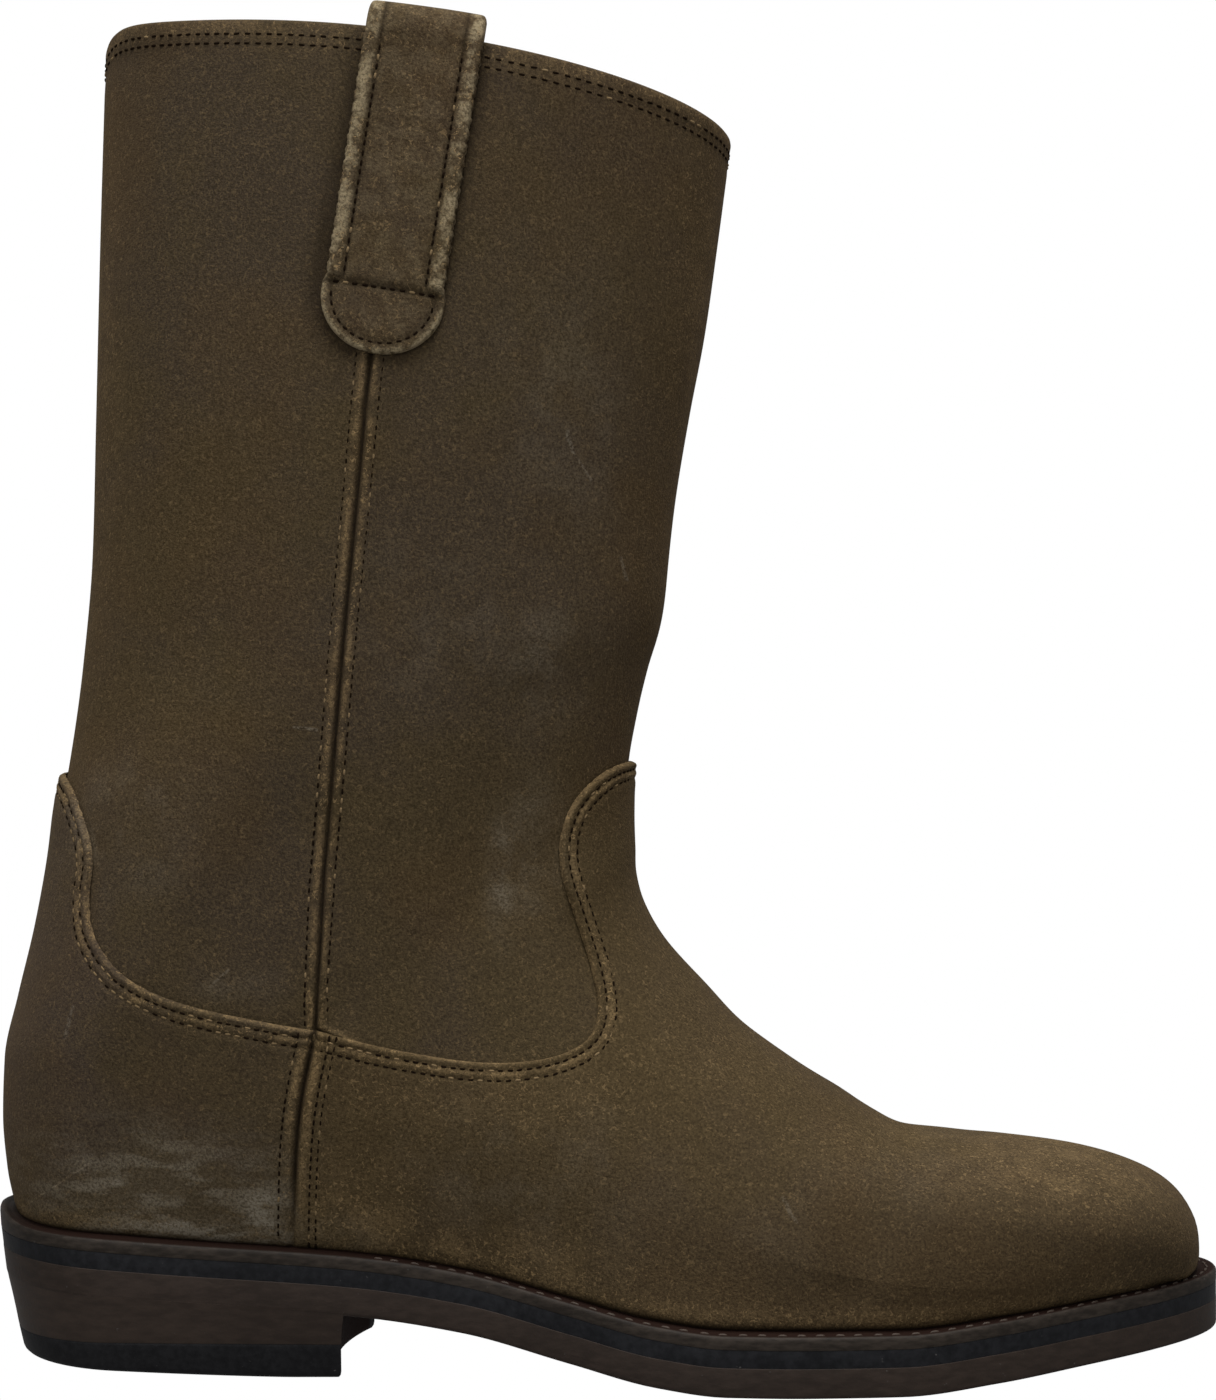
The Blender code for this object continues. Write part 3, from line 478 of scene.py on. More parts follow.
# How one hide differs from the next: factors on its colours, how far oiled places show, the size and
# strength of its patches of wear, whether its scuffs are smeared, and its scratches
Hide = namedtuple("Hide", "tint clouding patch_scale patchy smeared scratches")
SHAFT_HIDE = Hide((1.0, 1.0, 1.0), 0.8, 120.0, 1.1, False, SCRATCHES)
VAMP_HIDE = Hide((1.07, 1.03, 0.96), 0.45, 120.0, 0.65, False, SCRATCHES)
COUNTER_HIDE = Hide((1.05, 1.05, 1.12), 1.0, 120.0, 1.1, True, SCRATCHES)
STRAP_HIDE = Hide((1.03, 0.98, 0.88), 1.0, 240.0, 1.1, False, ())

# Noise in the finishes, in features a metre, and depths of bump in metres
CLOUD_SCALE = 11.0
WARM_SCALE = 17.0
STAIN_SCALE = 36.0
HAZE_SCALE = 75.0
SMEAR_SCALE = 170.0
SMEAR_STRETCH = (0.4, 0.4, 1.4)
SPECK_SCALE = 1100.0
GRAIN_SCALE = 1600.0
NAP_SCALE = 2800.0
DULL_SCALE = 40.0
DUST_SCALE = 900.0
SCRATCH_WOBBLE = 0.003
NAP_BUMP = 0.0005
FINE_BUMP = 0.0002
EVEN = (1.0, 1.0, 1.0)
LAYERED = (1.0, 1.0, 3.0)

# Camera: its place in the tables' millimetres, its shift in picture widths, its sensor in mm
CAMERA_PLACE = (149.0, -600.0, 125.0)
CAMERA_SHIFT = 0.103
SENSOR_WIDTH = 36.0
# Lights and floor, in metres
LIGHT_AIM = (0.0, 0.0, 0.12)
KEY_PLACE = (0.05, -0.45, 1.5)
KEY_SIZE = 0.8
FILL_PLACE = (-0.5, -1.6, 0.8)
FILL_SIZE = 0.7
FLOOR_SIDE = 3.0
FLOOR_FRONT = -2.5
FLOOR_BACK = 1.2
FLOOR_BEND = 0.6
FLOOR_TOP = 3.0


# Curves


def bell(distance, at=0.0, wide=1.0):
    """Soft hump of height 1 around a distance."""
    return np.exp(-(((distance - at) / wide) ** 2))


def banded(distance, band):
    return band.amount * bell(distance, band.at, band.wide)


def stitch_dips(distance, rows):
    """How far stitch rows at some distances draw the leather in, from 0 to 1."""
    return sum(bell(distance, at, STITCH_DIP) for at in rows)


def ramp(value, start, over):
    """Straight rise from 0 at start to 1 after a length."""
    return np.clip((value - start) / over, 0, 1)


def smooth(share):
    return share * share * (3 - 2 * share)


def unit(vectors):
    return vectors / np.linalg.norm(vectors, axis=-1, keepdims=True)


def monotone(places, values, x):
    """Smooth curve through the places that never overshoots a value."""
    places = np.asarray(places, float)
    values = np.asarray(values, float)
    x = np.clip(np.asarray(x, float), places[0], places[-1])
    steps = np.diff(places)
    slopes = np.diff(values) / steps
    tangents = np.zeros_like(values)
    tangents[0], tangents[-1] = slopes[0], slopes[-1]
    for k in range(1, len(places) - 1):
        if slopes[k - 1] * slopes[k] > 0:
            before, after = steps[k - 1], steps[k]
            weights = 3 * (before + after)
            tangents[k] = weights / ((2 * after + before) / slopes[k - 1] + (after + 2 * before) / slopes[k])
    row = np.clip(np.searchsorted(places, x, side="right") - 1, 0, len(steps) - 1)
    f = (x - places[row]) / steps[row]
    start = values[row] * (1 + 2 * f) * (1 - f) ** 2 + tangents[row] * steps[row] * f * (1 - f) ** 2
    end = values[row + 1] * f**2 * (3 - 2 * f) + tangents[row + 1] * steps[row] * f**2 * (f - 1)
    return start + end


def table_curve(table, x):
    """Smooth curve through a table of two columns."""
    return monotone(*zip(*table), x)


def through(points, place):
    """Smooth curve through evenly numbered points, at fractional places."""
    points = np.asarray(points, float)
    points = np.vstack([2 * points[0] - points[1], points, 2 * points[-1] - points[-2]])
    place = np.asarray(place, float)
    row = np.clip(np.floor(place).astype(int), 0, len(points) - 4)
    f = (place - row)[..., None]
    before, start, end, after = (points[row + k] for k in range(4))
    return 0.5 * (
        2 * start
        + (end - before) * f
        + (2 * before - 5 * start + 4 * end - after) * f**2
        + (3 * start - before - 3 * end + after) * f**3
    )


# Sole and upper


def sole_curve(column, x):
    return monotone([place.x for place in SOLE], [getattr(place, column) for place in SOLE], x)


def underside(x):
    return sole_curve("underside", x)


def swing(x):
    """Sideways curve of the forefoot towards the inner side."""
    return TOE_SWING * smooth(ramp(np.asarray(x, float), SWING_START, LENGTH - SWING_START))


def outline_width(x, side, inset):
    """Half-width of the sole, drawn in by inset, before its ends are rounded."""
    return np.where(np.asarray(side) < 0, sole_curve("lateral", x), sole_curve("medial", x)) - inset


def rounding(along, bluntness=2.0):
    """Quarter round that brings a width up from nothing over a length of one."""
    return (1 - (1 - np.clip(along, 0, 1)) ** bluntness) ** (1 / bluntness)


def heel_rounding(x, inset, back=0.0):
    return rounding((x - inset - back) / (HEEL_ROUND - inset))


def toe_rounding(x, inset):
    return rounding((LENGTH - inset - x) / (TOE_ROUND - inset), TOE_BLUNTNESS)


def half_width(x, side, inset, back=0.0):
    """Half-width of the sole's outline drawn in by inset, its back end moved on by back."""
    x = np.asarray(x, float)
    return outline_width(x, side, inset) * heel_rounding(x, inset, back) * toe_rounding(x, inset)


def feather_place():
    """The lowest place of the back of the upper."""
    seat = float(outline_width(FEATHER_INSET, LATERAL, FEATHER_INSET))
    level = float(underside(FEATHER_INSET)) + UPPER_LEVEL
    return HeelPlace(level, FEATHER_INSET, seat, HEEL_ROUND - FEATHER_INSET)


def back_profile(z):
    """Back line, half-width behind and length of the rounding at a height."""
    rows = [HEEL_FOOT, feather_place()] + [HeelPlace(g.rear_z, g.rear_x, g.seat, g.round) for g in LEG]
    heights, *columns = zip(*rows)
    return [monotone(heights, column, z) for column in columns]


def section_table():
    """Foot and leg sections as one table of numbers."""
    level = feather_place().rear_z
    foot = [(f.front_x, f.front_z, f.rear_x, level, f.lateral, f.medial, f.belly, f.crown) for f in FOOT]
    leg = [(g.front_x, g.front_z, g.rear_x, g.rear_z, g.width, g.width, g.belly, LEG_CROWN) for g in LEG]
    return np.array(foot + leg)


Cut = namedtuple("Cut", "front_x front_z rear_x rear_z widest belly crown seat open_share")


def cut_at(s, side):
    """Sizes of the cut through fractional section s on one side of the boot."""
    values = np.moveaxis(through(section_table(), s), -1, 0)
    front_x, front_z, rear_x, rear_z, lateral, medial, belly, crown = values
    foot = s < CLOSED_FROM
    rear_x = np.where(foot, np.maximum(rear_x, FEATHER_INSET), back_profile(rear_z)[0])
    rear_z = np.where(foot, underside(rear_x) + UPPER_LEVEL, rear_z)
    seat = outline_width(rear_x, side, FEATHER_INSET) * toe_rounding(rear_x, FEATHER_INSET)
    widest = np.where(side < 0, lateral, medial)
    widest = np.where(foot, np.maximum(widest, seat), widest)
    open_share = np.where(foot, heel_rounding(rear_x, FEATHER_INSET), 0.0)
    return Cut(front_x, front_z, rear_x, rear_z, widest, belly, crown, seat, open_share)


def belly_line(z):
    """Side-view place of the widest line of ankle and leg at a height."""
    cut = cut_at(np.arange(BELLY_FROM, COLLAR + 1), LATERAL)
    x = cut.rear_x + cut.belly * (cut.front_x - cut.rear_x)
    height = cut.rear_z + cut.belly * (cut.front_z - cut.rear_z)
    return monotone(height, x, z)


def heel_width(x, z, side, widest):
    """Half-width behind the widest line, from the outlines of level slices."""
    back, seat, round_length = back_profile(z)
    feather = feather_place()
    fade = np.exp(-np.maximum(z - feather.rear_z, 0) / SEAT_FADE)
    seat = seat + (outline_width(x, side, FEATHER_INSET) - feather.seat) * fade
    share = ramp(x, back, belly_line(z) - back)
    rise = ramp(z - underside(x), UPPER_LEVEL, BELLY_RISE)
    swell = np.sin(share * math.pi / 2) * np.sin(rise * math.pi / 2)
    return (seat + (widest - seat) * swell) * rounding((x - back) / round_length)


def upper_place(s, t):
    """Outer surface of the upper: s counts sections, t goes once round from the outer bottom edge."""
    s, t = np.broadcast_arrays(np.asarray(s, float), np.asarray(t, float))
    side_t = np.minimum(t, 1 - t)
    dip = sum(dip.sections * bell(side_t, dip.turn, dip.wide) for dip in COLLAR_DIPS)
    s = s - dip * ramp(s, COLLAR - DIP_SECTIONS, DIP_SECTIONS)
    side = np.where(t > FRONT_TURN, MEDIAL, LATERAL)
    turn = side_t / SEAM_TURN
    cut = cut_at(s, side)
    low = np.clip(turn, 0, 1) ** (2 - cut.open_share)
    high = np.clip(turn - 1, 0, 1) * math.pi / 2
    high_along = cut.belly + (1 - cut.belly) * np.sin(high) ** (2 / cut.crown)
    along = np.where(turn < 1, cut.belly * low, high_along)
    x = cut.rear_x + along * (cut.front_x - cut.rear_x)
    z = cut.rear_z + along * (cut.front_z - cut.rear_z)
    foot_out = cut.seat + (cut.widest - cut.seat) * np.sin(low * math.pi / 2)
    sliced = smooth(ramp(s, SLICED_FROM, SLICED_OVER))
    low_out = foot_out + (heel_width(x, z, side, cut.widest) - foot_out) * sliced
    high_out = cut.widest * np.cos(high).clip(0, 1) ** (2 / cut.crown)
    out = np.where(turn < 1, low_out, high_out)
    return np.stack([x, swing(x) + side * out, z], -1)


def upper_normal(s, t, ds=0.02, dt=0.002):
    """Outward direction of the upper's outer surface."""
    s, t = np.broadcast_arrays(np.asarray(s, float), np.asarray(t, float))
    closed = s >= CLOSED_FROM
    before = np.where(closed, (t - dt) % 1.0, np.clip(t - dt, 0, 1))
    after = np.where(closed, (t + dt) % 1.0, np.clip(t + dt, 0, 1))
    round_it = upper_place(s, after) - upper_place(s, before)
    lower = np.clip(s - ds, np.where(closed, CLOSED_FROM, 0), COLLAR)
    higher = np.clip(s + ds, 0, np.where(closed, COLLAR, CLOSED_FROM - ds / 2))
    up_it = upper_place(higher, t) - upper_place(lower, t)
    return unit(np.cross(round_it, up_it))


def upper_from_side(x, z):
    """Section and turn of the point of the upper's outer half that the side view shows at x, z."""
    x, z = np.broadcast_arrays(np.asarray(x, float), np.asarray(z, float))
    low, high = np.zeros(x.shape), np.full(x.shape, float(COLLAR))
    for _ in range(SEARCH_STEPS):
        middle = (low + high) / 2
        cut = cut_at(middle, LATERAL)
        run_x, run_z = cut.front_x - cut.rear_x, cut.front_z - cut.rear_z
        above = run_x * (z - cut.rear_z) - run_z * (x - cut.rear_x) > 0
        low, high = np.where(above, middle, low), np.where(above, high, middle)
    along = ((x - cut.rear_x) * run_x + (z - cut.rear_z) * run_z) / (run_x**2 + run_z**2)
    low_turn = np.clip(along / cut.belly, 0, 1) ** (1 / (2 - cut.open_share))
    high_part = np.clip((along - cut.belly) / (1 - cut.belly), 0, 1) ** (cut.crown / 2)
    high_turn = 1 + np.arcsin(high_part) / (math.pi / 2)
    return middle, SEAM_TURN * np.where(along < cut.belly, low_turn, high_turn)


def turn_length(s, t):
    """Length round the upper for one whole turn, as the surface lies at a section and turn."""
    after, before = np.clip(t + TURN_STEP, 0, 1), np.clip(t - TURN_STEP, 0, 1)
    return np.linalg.norm(upper_place(s, after) - upper_place(s, before), axis=-1) / (2 * TURN_STEP)


def hem_length(t):
    """Length down the upper for one section, just below the collar."""
    return np.linalg.norm(upper_place(COLLAR, t) - upper_place(COLLAR - HEM_STEP, t), axis=-1) / HEM_STEP


def collar_rise(t):
    """Step up the upper to the collar's edge."""
    return upper_place(COLLAR, t) - upper_place(COLLAR - COLLAR_STEP, t)


def corner_section():
    """Section of the corner where the side seam meets both overlays."""
    return float(upper_from_side(*CORNER)[0])


def seam_turn(s):
    """Turn of the shaft's side seam at a section: straight from the overlays' corner to the widest line."""
    share = np.linspace(0, 1, 40)
    join_x = float(belly_line(SEAM_JOIN)) - SEAM_BACK
    x, z = CORNER.x + (join_x - CORNER.x) * share, CORNER.z + (SEAM_JOIN - CORNER.z) * share
    return np.interp(s, *upper_from_side(x, z))


def sole_middle():
    """Middle of the part's outsole in its own frame, from where the frame holds that node."""
    low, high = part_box("outsole")
    x = np.linspace(0, LENGTH, 601)
    lowest = (swing(x) - half_width(x, LATERAL, 0.0)).min()
    highest = (swing(x) + half_width(x, MEDIAL, 0.0)).max()
    return np.array([LENGTH / 2 + SOLE_SHIFT, (lowest + highest) / 2 - (low[1] + high[1]) / 2 / MM, 0.0])


MIDDLE = sole_middle()


def to_world(places):
    return (np.asarray(places) - MIDDLE) * MM


# Wear


def line_distance(x, z, line):
    """Distance in the side view from a straight line's stretch."""
    run_x, run_z = line.x2 - line.x1, line.z2 - line.z1
    along = ((x - line.x1) * run_x + (z - line.z1) * run_z) / (run_x**2 + run_z**2)
    along = np.clip(along, 0, 1)
    return np.hypot(x - line.x1 - along * run_x, z - line.z1 - along * run_z)


def crease_height(place):
    """Height that the worn leather's creases add at places of the upper."""
    x, z = place[..., 0], place[..., 2]
    return sum(crease.height * bell(line_distance(x, z, crease), 0.0, crease.width) for crease in CREASES)


def blot_amount(place, blots):
    """How far soft blots in the side view cover places."""
    x, z = place[..., 0], place[..., 2]
    covers = [blot.amount * bell(x, blot.x, blot.wide) * bell(z, blot.z, blot.high) for blot in blots]
    return np.maximum.reduce(covers)


def strap_shadow(place):
    """How far the pull straps darken the shaft beside them."""
    line = Crease(STRAP_TAB_END.x, STRAP_TAB_END.z + STRAP_TAB_HALF_WIDTH, *STRAP_TOP, 0.0, 0.0)
    beyond = line_distance(place[..., 0], place[..., 2], line) - STRAP_HALF_WIDTH
    return banded(np.maximum(beyond, 0), STRAP_SHADOW)


def leather(s, t, lift):
    """Places at a height above the upper, creases included."""
    place = upper_place(s, t)
    return place + upper_normal(s, t) * (np.asarray(lift) + crease_height(place))[..., None]


# Overlays


class SurfaceLine:
    """A line on the upper by section and turn, read at shares of its length."""

    def __init__(self, s, t):
        self.s, self.t = np.broadcast_arrays(np.asarray(s, float), np.asarray(t, float))
        steps = np.linalg.norm(np.diff(upper_place(self.s, self.t), axis=0), axis=1)
        self.run = np.concatenate([[0.0], np.cumsum(steps)])
        self.length = float(self.run[-1])

    def at(self, share):
        run = np.asarray(share) * self.length
        return np.interp(run, self.run, self.s), np.interp(run, self.run, self.t)

    def near(self, places):
        """Distance from the line and run along it for each place."""
        count = max(int(self.length / LINE_STEP), 2)
        tree = KDTree(count)
        for number, dot in enumerate(upper_place(*self.at(np.linspace(0, 1, count)))):
            tree.insert(dot, number)
        tree.balance()
        found = np.array([tree.find(place)[1:] for place in places.reshape(-1, 3)])
        number, far = found.T.reshape(2, *places.shape[:-1])
        return far, number * self.length / (count - 1)


class Patch:
    """Outer half of an overlay: u goes along its cut edge (top) and its welt and middle lines (bottom)."""

    def __init__(self, seam, top, bottom, welt, matches):
        self.seam, self.top, self.bottom, self.welt = seam, top, bottom, welt
        share = np.linspace(0, 1, 800)
        below = table_curve(matches, share)
        run = share * top.length + below * bottom.length
        self.length = float(run[-1])
        self.u, self.top_share, self.bottom_share = run / self.length, share, below

    def at(self, u, v):
        """Section and turn at a share u along the edge and v up from the far lines to the edge."""
        u, v = np.broadcast_arrays(u, v)
        top = np.array(self.top.at(np.interp(u, self.u, self.top_share)))
        bottom = np.array(self.bottom.at(np.interp(u, self.u, self.bottom_share)))
        ends = [np.array(self.seam.at(end)).reshape((2,) + (1,) * u.ndim) for end in (0.0, 1.0)]
        bend = np.array(self.seam.at(v)) - ends[0] * (1 - v) - ends[1] * v
        s, t = (1 - v) * bottom + v * top + (1 - u) ** SEAM_PULL * bend
        return s, np.clip(t, 0, FRONT_TURN)


def side_line(places, count=240):
    """Line on the outer half of the upper under a smooth side-view line."""
    points = through(places, np.linspace(0, len(places) - 1, count))
    return SurfaceLine(*upper_from_side(points[:, 0], points[:, 1]))


def edge_line(places, turn, end_turn, rising):
    """Line of an overlay's cut edge up to where it first reaches a turn, ended at its last turn."""
    line = side_line(places)
    past = line.t >= turn if rising else line.t <= turn
    last = int(np.argmax(past)) if past.any() else len(line.t) - 1
    s, t = line.s[: last + 1].copy(), line.t[: last + 1].copy()
    t[-1] = turn
    edge = SurfaceLine(s, t)
    edge.t[-1] = end_turn
    return edge


def lower_seam_line():
    """Side seam between vamp and counter, from the welt up."""
    line = side_line(LOWER_SEAM, 160)
    above = line.t > WELT_TURN
    s, t = line.s[above], line.t[above]
    return SurfaceLine(np.concatenate([s[:1], s]), np.concatenate([[0.0], t]))


def vamp_patch():
    """Outer half of the vamp, from the seam along its edge to the ridge of the instep."""
    seam = lower_seam_line()
    top = edge_line(VAMP_EDGE, FRONT_NEAR, FRONT_TURN, rising=True)
    back, toe = np.linspace(seam.s[0], 0.0, 300), np.linspace(0, FRONT_TURN, 60)[1:]
    ridge = np.linspace(0, top.s[-1], 300)[1:]
    s, t = np.concatenate([back, 0 * toe]), np.concatenate([0 * back, toe])
    bottom = SurfaceLine(np.concatenate([s, ridge]), np.concatenate([t, 0 * ridge + FRONT_TURN]))
    return Patch(seam, top, bottom, SurfaceLine(s, t), VAMP_MATCHES)


def counter_patch():
    """Outer half of the counter, from the seam along its edge to the back."""
    seam = lower_seam_line()
    top = edge_line(COUNTER_EDGE, BACK_NEAR, 0.0, rising=False)
    along = np.linspace(seam.s[0], CLOSED_FROM, 240)
    back = np.linspace(CLOSED_FROM, top.s[-1], 160)[1:]
    bottom = SurfaceLine(np.concatenate([along, back]), 0.0)
    return Patch(seam, top, bottom, SurfaceLine(along, 0.0), COUNTER_MATCHES)


class OverlayMesh:
    """Half of an overlay on a patch, with heights, wear and painted shade from the distances to its edges."""

    def __init__(self, patch, ridge):
        count = int((patch.length - SEAM_ROWS[-1]) / OVERLAY_STEP) + 1
        columns = np.linspace(SEAM_ROWS[-1], patch.length, count)
        u = np.concatenate([SEAM_ROWS, columns[1:]]) / patch.length
        down = upper_place(*patch.at(u[:, None], np.linspace(0, 1, 60)[None, :]))
        lengths = np.linalg.norm(np.diff(down, axis=1), axis=-1).sum(axis=1)
        rows = np.array(EDGE_ROWS, float)[:, None]
        near = np.minimum(rows, lengths * 0.5 * rows / rows[-1])
        far = np.linspace(0, 1, OVERLAY_ROWS)[1:, None]
        shares = np.concatenate([near, near[-1:] + (lengths - near[-1:]) * far]) / np.maximum(lengths, 1e-6)
        self.s, self.t = patch.at(np.broadcast_to(u, shares.shape), 1 - shares)
        place = upper_place(self.s, self.t)
        edge_far, seam_far, foot_far = (line.near(place)[0] for line in (patch.top, patch.seam, patch.welt))
        opened = np.clip((place[..., 2] - SEAM_OPEN_FROM) / SEAM_OPEN_OVER, SEAM_CLOSED, 1)
        seam_rise = (table_curve(SEAM_HEIGHT, seam_far) - OVERLAY_HEIGHT) * (1 + SEAM_FLATNESS * (opened - 1))
        height = table_curve(EDGE_HEIGHT, edge_far) + table_curve(FOOT_HEIGHT, foot_far) - OVERLAY_HEIGHT
        dips = stitch_dips(edge_far, EDGE_STITCHES) + stitch_dips(seam_far, (LOWER_STITCH,))
        edged = bell(edge_far, 0.0, ROUGH_WIDTH) + bell(seam_far, 0.0, ROUGH_WIDTH) * opened
        rough = np.random.default_rng(6).normal(0, EDGE_ROUGHNESS, edged.shape) * np.clip(edged, 0, 1)
        rough[0] = 0
        self.lift = np.maximum(height + seam_rise - STITCH_DEPTH * dips + rough, LEAST_HEIGHT)
        rubs = [banded(edge_far, RAW_EDGE), banded(edge_far, BETWEEN_STITCHES), banded(foot_far, FOOT_NAP)]
        rubs += [opened * banded(seam_far, ridge), blot_amount(place, RUBBED_AND_LIT)]
        # Painted shade in the seam's groove and in the stitch rows' dips, and painted shade low on the toe
        # box
        groove = bell(seam_far, 0.0, GROOVE_WIDTH + GROOVE_WIDTH * opened)
        groove = (GROOVE_DARK + GROOVE_OPEN_DARK * opened) * groove
        # Painted shade at the overlay's foot by the welt
        foot = np.maximum(banded(foot_far, FOOT_DARK), FOOT_FAR_SHADE * np.exp(-foot_far / FOOT_FAR_SHADE_LENGTH))
        stitch_shade = OVERLAY_STITCH_DARK * dips
        shade = np.maximum.reduce([groove, foot, stitch_shade, blot_amount(place, PAINTED_SHADE)])
        self.values = {
            "rub": np.maximum.reduce(rubs),
            "shade": np.clip(shade, 0, 1),
            "scuff": blot_amount(place, SCUFFED),
        }


def patch_rows(patch, distance, from_seam):
    """Section and turn of a row at a distance from a patch's cut edge, or from its seam."""
    if from_seam:
        line = patch.seam
        along = np.linspace(0.01, 0.985, 200)
        s, t = patch.at(np.linspace(0, (distance + 3) * 3 / patch.length, 60)[None, :], along[:, None])
    else:
        line = patch.top
        along = np.linspace(0.002, 0.998, 400)
        s, t = patch.at(along[:, None], 1 - np.linspace(0, 0.5, 160)[None, :] ** 1.5)
    far, run = line.near(upper_place(s, t))
    rows = []
    for k in range(len(along)):
        past = int(np.argmax(far[k] >= distance))
        if past == 0 or not ROW_MARGIN < run[k, past] < line.length - ROW_MARGIN:
            continue
        share = (distance - far[k, past - 1]) / (far[k, past] - far[k, past - 1])
        rows.append([v[k, past - 1] + share * (v[k, past] - v[k, past - 1]) for v in (run, s, t)])
    _, s, t = np.array(sorted(rows)).T
    return s, t


def both_sides(s, t, lift, pale_share=PLAIN_PALE):
    """A stitch row on the outer side and its twin on the inner side."""
    return [(leather(s, turn, lift), upper_normal(s, turn), pale_share) for turn in (t, 1 - t)]


# Pull straps


def strap_base(across, heights, ragged=0.0):
    """Section and turn under the strap's outside, and its half-widths, from the tab's end to the collar."""
    foot = np.array(STRAP_TAB_END)
    run = (np.array(STRAP_TOP) - foot) / STRAP_LENGTH
    beside = np.array([run[1], -run[0]])
    ease = ramp(heights, STRAP_TAB_LENGTH, STRAP_TAB_EASE)
    wide = STRAP_TAB_HALF_WIDTH + (STRAP_HALF_WIDTH - STRAP_TAB_HALF_WIDTH) * ease
    wide = wide * rounding(heights / STRAP_TAB_ROUND)
    side, up = np.sign(across), heights[:, None]
    rag = np.sin(up * RAG_WAVES[0] + 2 * side) + np.sin(up * RAG_WAVES[1] - side)
    rag = ragged * rag * ease[:, None] * side * np.abs(across) ** RAG_NARROWNESS
    out = across * wide[:, None] + rag
    places = foot + run * up[..., None] + beside * out[..., None]
    s, t = upper_from_side(places[..., 0], places[..., 1])
    s[heights >= STRAP_LENGTH - 1e-6] = COLLAR
    return s, t, wide


StrapSide = namedtuple("StrapSide", "s t lift rub shade")


def strap_outside():
    """The strap's outside as rows from the tab's end to the collar: place on the upper, height, wear with a
    painted highlight on the folds, and painted shade.
    """
    tab = STRAP_TAB_ROUND * (1 - np.cos(np.linspace(0.05, math.pi / 2, 16)))
    heights = np.concatenate([tab, np.linspace(tab[-1], STRAP_LENGTH, STRAP_ROWS)[1:]])
    half = np.concatenate([STRAP_ROWS_NEAR, np.linspace(STRAP_ROWS_NEAR[-1], STRAP_HALF_WIDTH, 10)[1:]])
    half = half / STRAP_HALF_WIDTH - 1
    across = np.concatenate([half, -half[-2::-1]])
    s, t, wide = strap_base(across, heights, STRAP_RAGGED)
    up, wide = heights[:, None], wide[:, None]
    inward = (1 - np.abs(across)) * wide
    below = np.clip((STRAP_TAB_ROUND - up) / STRAP_TAB_ROUND, 0, 1)
    from_middle = np.hypot(across * wide / STRAP_TAB_HALF_WIDTH, below)
    end_far = np.where(below > 0, np.clip(1 - from_middle, 0, 1) * STRAP_TAB_HALF_WIDTH, inward)
    folded = ramp(up, STRAP_TAB_LENGTH + FOLD_START, FOLD_EASE)
    cross = bell(up, STRAP_TAB_LENGTH, CROSS_WIDTH) + 0 * inward
    stitched = stitch_dips(inward, (STRAP_STITCH,)) * folded
    topped = ramp(up, STRAP_LENGTH - CROWN_EASE, CROWN_EASE) ** 2
    lift = table_curve(TAB_HEIGHT, end_far) * (1 - folded) + table_curve(STRAP_HEIGHT, inward) * folded
    lift = lift - CROSS_DEPTH * cross * np.clip(inward, 0, 1) - STRAP_DEPTH * stitched
    lift = lift * (1 - topped) + table_curve(CROWN_HEIGHT, inward) * topped
    # Pale rubbed folds, partly a painted highlight on their raised tops
    fold = folded / (1 + np.exp((inward - FOLD_WIDTH) / FOLD_SOFTNESS))
    raw = banded(end_far, TAB_EDGE) * (1 - folded)
    rub = np.maximum.reduce([FOLD_RUB_AND_HIGHLIGHT * fold, raw, STRAP_RUB + 0 * fold])
    # Painted shade in the stitch dips of tab and folds, across the cross stitch and at the strap's outer
    # edges
    stitch_shade = TAB_STITCH_DARK * stitch_dips(end_far, (TAB_STITCH,)) * (1 - folded)
    stitch_shade = np.maximum(STRAP_STITCH_DARK * stitched, stitch_shade)
    shade = np.maximum.reduce([stitch_shade, CROSS_DARK * cross, banded(inward, STRAP_EDGE_DARK) * folded])
    return StrapSide(s, t, lift, rub, np.clip(shade, 0, 1))


def strap_places(strap, side):
    """Places of one whole strap: up its outside, over the collar and down the inside."""
    turn = strap.t if side == LATERAL else 1 - strap.t
    base = upper_place(strap.s, turn)
    outside = base + upper_normal(strap.s, turn) * (STRAP_GAP + strap.lift + crease_height(base))[..., None]
    top, thick = turn[-1], (STRAP_GAP + strap.lift[-1])[:, None]
    rim, out, rise = upper_place(COLLAR, top), upper_normal(COLLAR, top), collar_rise(top)
    angle = np.linspace(0, math.pi, CROWN_ROWS + 1)[1:, None, None]
    radius = WALL / 2 + thick
    crown = radius * np.cos(angle) * out + (radius + CROWN_RISE) * np.sin(angle) * unit(rise)
    down = np.linspace(0, STRAP_INSIDE_LENGTH, INSIDE_ROWS + 1)[1:, None]
    inner_s = COLLAR - down * COLLAR_STEP / np.linalg.norm(rise, axis=-1).mean()
    inner_s, inner_t = np.broadcast_arrays(inner_s, top)
    within = upper_place(inner_s, inner_t) - upper_normal(inner_s, inner_t) * (WALL + thick)
    return np.concatenate([outside, rim - out * WALL / 2 + crown, within])


